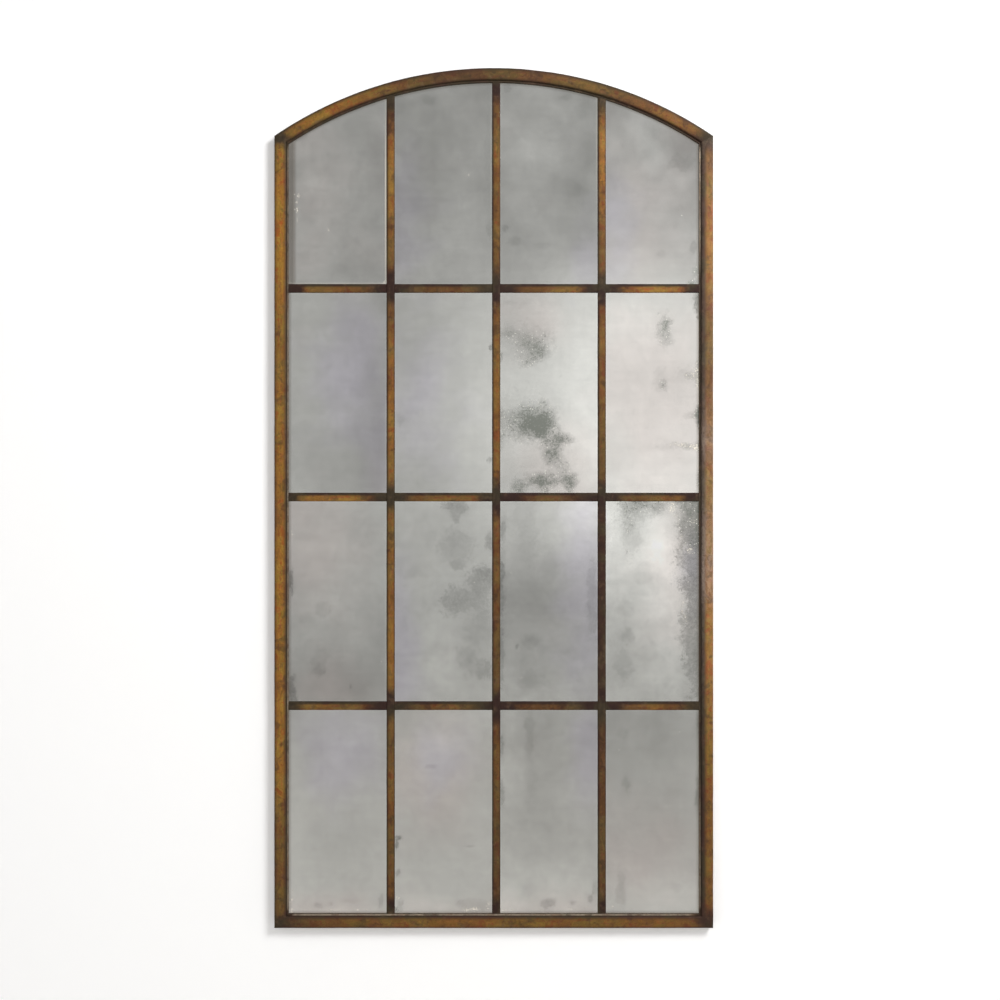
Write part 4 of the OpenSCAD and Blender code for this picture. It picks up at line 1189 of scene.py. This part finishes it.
clip_end_h = 0.180
clip_reach = 0.340
clip_angle = math.radians(13)
quarter = math.pi / 2
clip_steps = [clip_end_h + k * (side_h - 2 * clip_end_h) / 3 for k in range(4)]
CLIPS = [(sign * inner_half_w, z, turn) for sign, turn in ((-1, 0.0), (1, math.pi)) for z in clip_steps]
CLIPS += [(k * clip_reach, tube_face, -quarter) for k in (-1, 0, 1)]
CLIPS += [(inner_r * math.sin(k * clip_angle), arch_z + inner_r * math.cos(k * clip_angle),
           quarter + k * clip_angle) for k in (-2, -1, 0, 1, 2)]
screw_back = tube_face / 2


def clip_places(y):
    """The clips' screws at this depth, each a little back from the joint, and their turns."""
    return [(x - screw_back * math.cos(turn), y, z + screw_back * math.sin(turn), turn)
            for x, z, turn in CLIPS]


fasten("board_clips_zinc", "board_clips", "zinc_plate", clip_mesh, clip_places(back_y), clip_strays,
       zinc_plate, 3)


# The screws: pan-head steel screws with a cross recess, cut threads and a blunt point. Each is
# driven home at its own turn. The clips and the hanger plates use the same screw.
screw_len = 0.010
screw_tip = 0.0002
head_gap = 0.0002                     # the last thread ring stays this far below the head
tip_r = screw_d * 0.2
head_r = 0.004
head_h = 0.0024
cross_reach = 0.0022
cross_slot = 0.001
cross_floor = 0.001
cross_top = head_h + 0.001
cross_taper = (0.82, 1.08)            # how large the cross is at its floor and above the head
thread_start = 0.0012                 # the first thread ring stands this far above the point
thread_runout = 0.001                 # the thread dies away over this length below the head
thread_pitch = 0.0014
thread_depth = 0.00028
PITCH_RINGS = 6
SHANK_RINGS = 38
SCREW_SIDES = 24
# The pan head, from its rim up: its radius and height as shares of the full size
HEAD_SHAPE = [(0.93, 0.0), (0.99, 0.08), (1.0, 0.25), (0.985, 0.45), (0.93, 0.68), (0.8, 0.86), (0.6, 0.955),
              (0.35, 0.99)]
screw_steel = plated("screw_steel", paint(184, 186, 188), paint(120, 120, 118), paint(214, 214, 214), 150.0,
                     0.3, 0.48)


def thread_ring(y, radius):
    """A ring of the threaded shank: the crest winds once round in each pitch."""
    ring = []
    cut = thread_depth * min(1.0, max(0.0, (-thread_runout - y) / thread_runout))
    for k, (x, y, z) in enumerate(circle_ring(1.0, y, SCREW_SIDES)):
        phase = (y / thread_pitch + k / SCREW_SIDES) % 1.0
        reach = radius - cut * abs(2 * phase - 1)
        ring.append((x * reach, y, z * reach))
    return ring


def cross_ring(scale, y):
    """The outline of the cross, as twelve points."""
    long, short = cross_reach * scale, cross_slot / 2 * scale
    corners = [(long, -short), (long, short), (short, short)]
    ring = []
    for turn in range(4):
        c, s = math.cos(turn * quarter), math.sin(turn * quarter)
        ring += [(x * c - z * s, y, x * s + z * c) for x, z in corners]
    return ring


def cut_away(mesh, tools):
    """Takes the tools' shapes out of a mesh."""
    body = placed("body", mesh)
    held = [placed("tool", tool) for tool in tools]
    for tool in held:
        cut = body.modifiers.new("cut", "BOOLEAN")
        cut.operation = "DIFFERENCE"
        cut.solver = "EXACT"
        cut.object = tool
    result = bpy.data.meshes.new_from_object(body.evaluated_get(bpy.context.evaluated_depsgraph_get()))
    for spare in held + [body]:
        bpy.data.objects.remove(spare)
    return result


ring_places = [thread_start - screw_len + k * thread_pitch / PITCH_RINGS for k in range(SHANK_RINGS)]
shank = [thread_ring(y, screw_d / 2) for y in ring_places if y < -head_gap]
head = [circle_ring(head_r * share, head_h * level, SCREW_SIDES) for share, level in HEAD_SHAPE]
blank = loft("blank", [[(0, -screw_len, 0)], circle_ring(tip_r, screw_tip - screw_len, SCREW_SIDES),
                       *shank, circle_ring(screw_d / 2, 0.0, SCREW_SIDES), *head, [(0, head_h, 0)]])
cutter = loft("cross", [[(0, cross_floor, 0)], cross_ring(cross_taper[0], cross_floor),
                        cross_ring(cross_taper[1], cross_top), [(0, cross_top, 0)]])
screw_mesh = cut_away(blank, [cutter])
fasten("clip_screws_driven", "clip_screws", "screw_steel", screw_mesh, clip_places(back_y + clip_t), math.pi,
       screw_steel, 5)


# The hangers: a strip of plated steel on each stile, its upper end rolled into an eye round
# the ring's wire, with two screws below. The ring is bent wire and swings in the eye.
plate_low, plate_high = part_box("hanger_plate_right")
ring_low, ring_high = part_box("hanger_ring_right")
wire_r = (ring_high.y - ring_low.y) / 2
hinge_y = (ring_low.y + ring_high.y) / 2
hinge_z = ring_high.z - wire_r
hanger_x = (plate_low.x + plate_high.x) / 2
plate_w = plate_high.x - plate_low.x
plate_t = 0.0016
plate_edge = 0.0003
ring_play = 0.00008
eye_bore = wire_r + ring_play
eye_turn = math.radians(285)
flat_step = 0.004                     # the flat of the strip is divided this often
bend_start = -0.008                   # the strip bends up from its seat here, below the hinge
bend_rise = 0.007
BEND_SHARES = (0.0, 0.35, 0.7, 1.0)
hole_low = back_y - 0.002             # the screw holes are cut from here
hole_high = back_y + 0.004            # to here
HOLE_SIDES = 32
FOOT_CUTS = 12
FLAT_CUTS = 10
EYE_CUTS = 30
PLATE_SCREWS = (0.034, 0.052)
hanger_steel = plated("hanger_steel", paint(186, 178, 160), paint(128, 118, 98), paint(216, 210, 196), 70.0,
                      0.3, 0.5)


def strip_ring(y, z, lean, half):
    """A cross section of the strip: its middle, the way its front faces, and half its width."""
    t = plate_t / 2
    flat_x, flat_d = half - plate_edge, t - plate_edge
    outline = [(-half, -flat_d), (-flat_x, -t), (flat_x, -t), (half, -flat_d), (half, flat_d), (flat_x, t),
               (-flat_x, t), (-half, flat_d)]
    return [(x, y + d * math.cos(lean), z + d * math.sin(lean)) for x, d in outline]


def plate_mesh():
    """The strip from its rounded foot up to the rolled eye, about the hinge line."""
    foot_r = plate_w / 2
    flat_y = back_y + plate_t / 2
    curl_r = eye_bore + plate_t / 2
    curl_y = hinge_y - curl_r
    foot_z = plate_low.z - hinge_z
    rings = []
    for k in range(FOOT_CUTS + 1):
        drop = foot_r * (1 - math.cos(quarter * k / FOOT_CUTS))
        half = max(math.sqrt(max(foot_r**2 - (foot_r - drop)**2, 0)), plate_edge * 2)
        rings.append(strip_ring(flat_y, foot_z + drop, 0.0, half))
    rings += [strip_ring(flat_y, foot_z + foot_r + k * flat_step, 0.0, foot_r)
              for k in range(1, FLAT_CUTS + 1)]
    rings += [strip_ring(flat_y + (curl_y - flat_y) * share, bend_start + bend_rise * share, 0.0, foot_r)
              for share in BEND_SHARES]
    for k in range(EYE_CUTS + 1):
        turn = eye_turn * k / EYE_CUTS
        rings.append(strip_ring(hinge_y - curl_r * math.cos(turn), curl_r * math.sin(turn), -turn, foot_r))
    holes = [loft("hole", [[(0, hole_low, -drop)], circle_ring(hole_r, hole_low, HOLE_SIDES, 0, -drop),
                           circle_ring(hole_r, hole_high, HOLE_SIDES, 0, -drop), [(0, hole_high, -drop)]])
             for drop in PLATE_SCREWS]
    return cut_away(faced(loft("plate", rings), fill=True), holes)


for side, sign in (("left", -1), ("right", 1)):
    plate = placed(f"hanger_plate_{side}_rolled", plate_mesh())
    plate.data.transform(Matrix.Translation((sign * hanger_x, 0, hinge_z)))
    plate.data.materials.clear()
    plate.data.materials.append(hanger_steel)
    smooth_mesh(plate.data, 35)
    fitted(plate, f"hanger_plate_{side}", "hanger_steel")
    dress(f"hanger_ring_{side}", hanger_steel)
plate_front = back_y + plate_t
fasten("hanger_screws_driven", "hanger_screws", "screw_steel", screw_mesh,
       [(sign * hanger_x, plate_front, hinge_z - drop, 0.0) for sign in (-1, 1) for drop in PLATE_SCREWS],
       math.pi, screw_steel, 8)


# The wall pads: four moulded black rubber buttons glued to the stiles' backs. They keep the
# frame off the wall. The face that meets the wall is ringed with shallow grooves for grip.
pad_low_h = 0.060
pad_high_h = side_h - 0.070
pad_r = 0.011
pad_back_r = pad_r * 0.97
pad_top_r = pad_r * 0.985
pad_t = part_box("wall_pads")[1].y - back_y
pad_foot = 0.0008
pad_rim = 0.0015                      # the rim's edge is rounded to this radius
pad_strays = 0.3                      # how far the pads are turned, in radians
groove = 0.0004
groove_half = 0.00015                 # half the groove's width at its floor
land_half = 0.0004                    # and at the face
GROOVE_RADII = (0.0075, 0.0055, 0.0035)
RIM_CUTS = 4
PAD_SIDES = 48
rubber_black = paint(42, 41, 40)
rubber_dust = paint(84, 81, 77)

pad_rubber, tree = new_material("pad_rubber")
place = put(tree, "ShaderNodeTexCoord")["Object"]
dust = noise(place, 120.0, 5.0, 0.65)
finished(pad_rubber, noise(place, 900.0, 3.0, 0.6), 0.00008,
         {"Base Color": mixed(ramp(dust, 0.45, 0.75, 0.0, 0.6), rubber_black, rubber_dust),
          "Roughness": ramp(dust, 0.3, 0.7, 0.55, 0.75)})

# The pad's outline from the glued face round to the middle of the grooved one
outline = [(pad_back_r, 0), (pad_r, pad_foot)]
for step in range(RIM_CUTS + 1):
    turn = quarter * step / RIM_CUTS
    outline.append((pad_top_r - pad_rim * (1 - math.cos(turn)), pad_t - pad_rim * (1 - math.sin(turn))))
for radius in GROOVE_RADII:
    outline += [(radius + land_half, pad_t), (radius + groove_half, pad_t - groove),
                (radius - groove_half, pad_t - groove), (radius - land_half, pad_t)]
pad_rings = [circle_ring(radius, y, PAD_SIDES) for radius, y in outline]
pad_mesh = loft("pad", [[(0, 0, 0)], *pad_rings, [(0, pad_t, 0)]])
fasten("wall_pads_moulded", "wall_pads", "pad_rubber", pad_mesh,
       [(sign * hanger_x, back_y, z, 0.0) for sign in (-1, 1) for z in (pad_low_h, pad_high_h)],
       pad_strays, pad_rubber, 2)

new_low, new_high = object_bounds()
{"cad": [list(cad_low), list(cad_high)], "visual": [list(new_low), list(new_high)]}
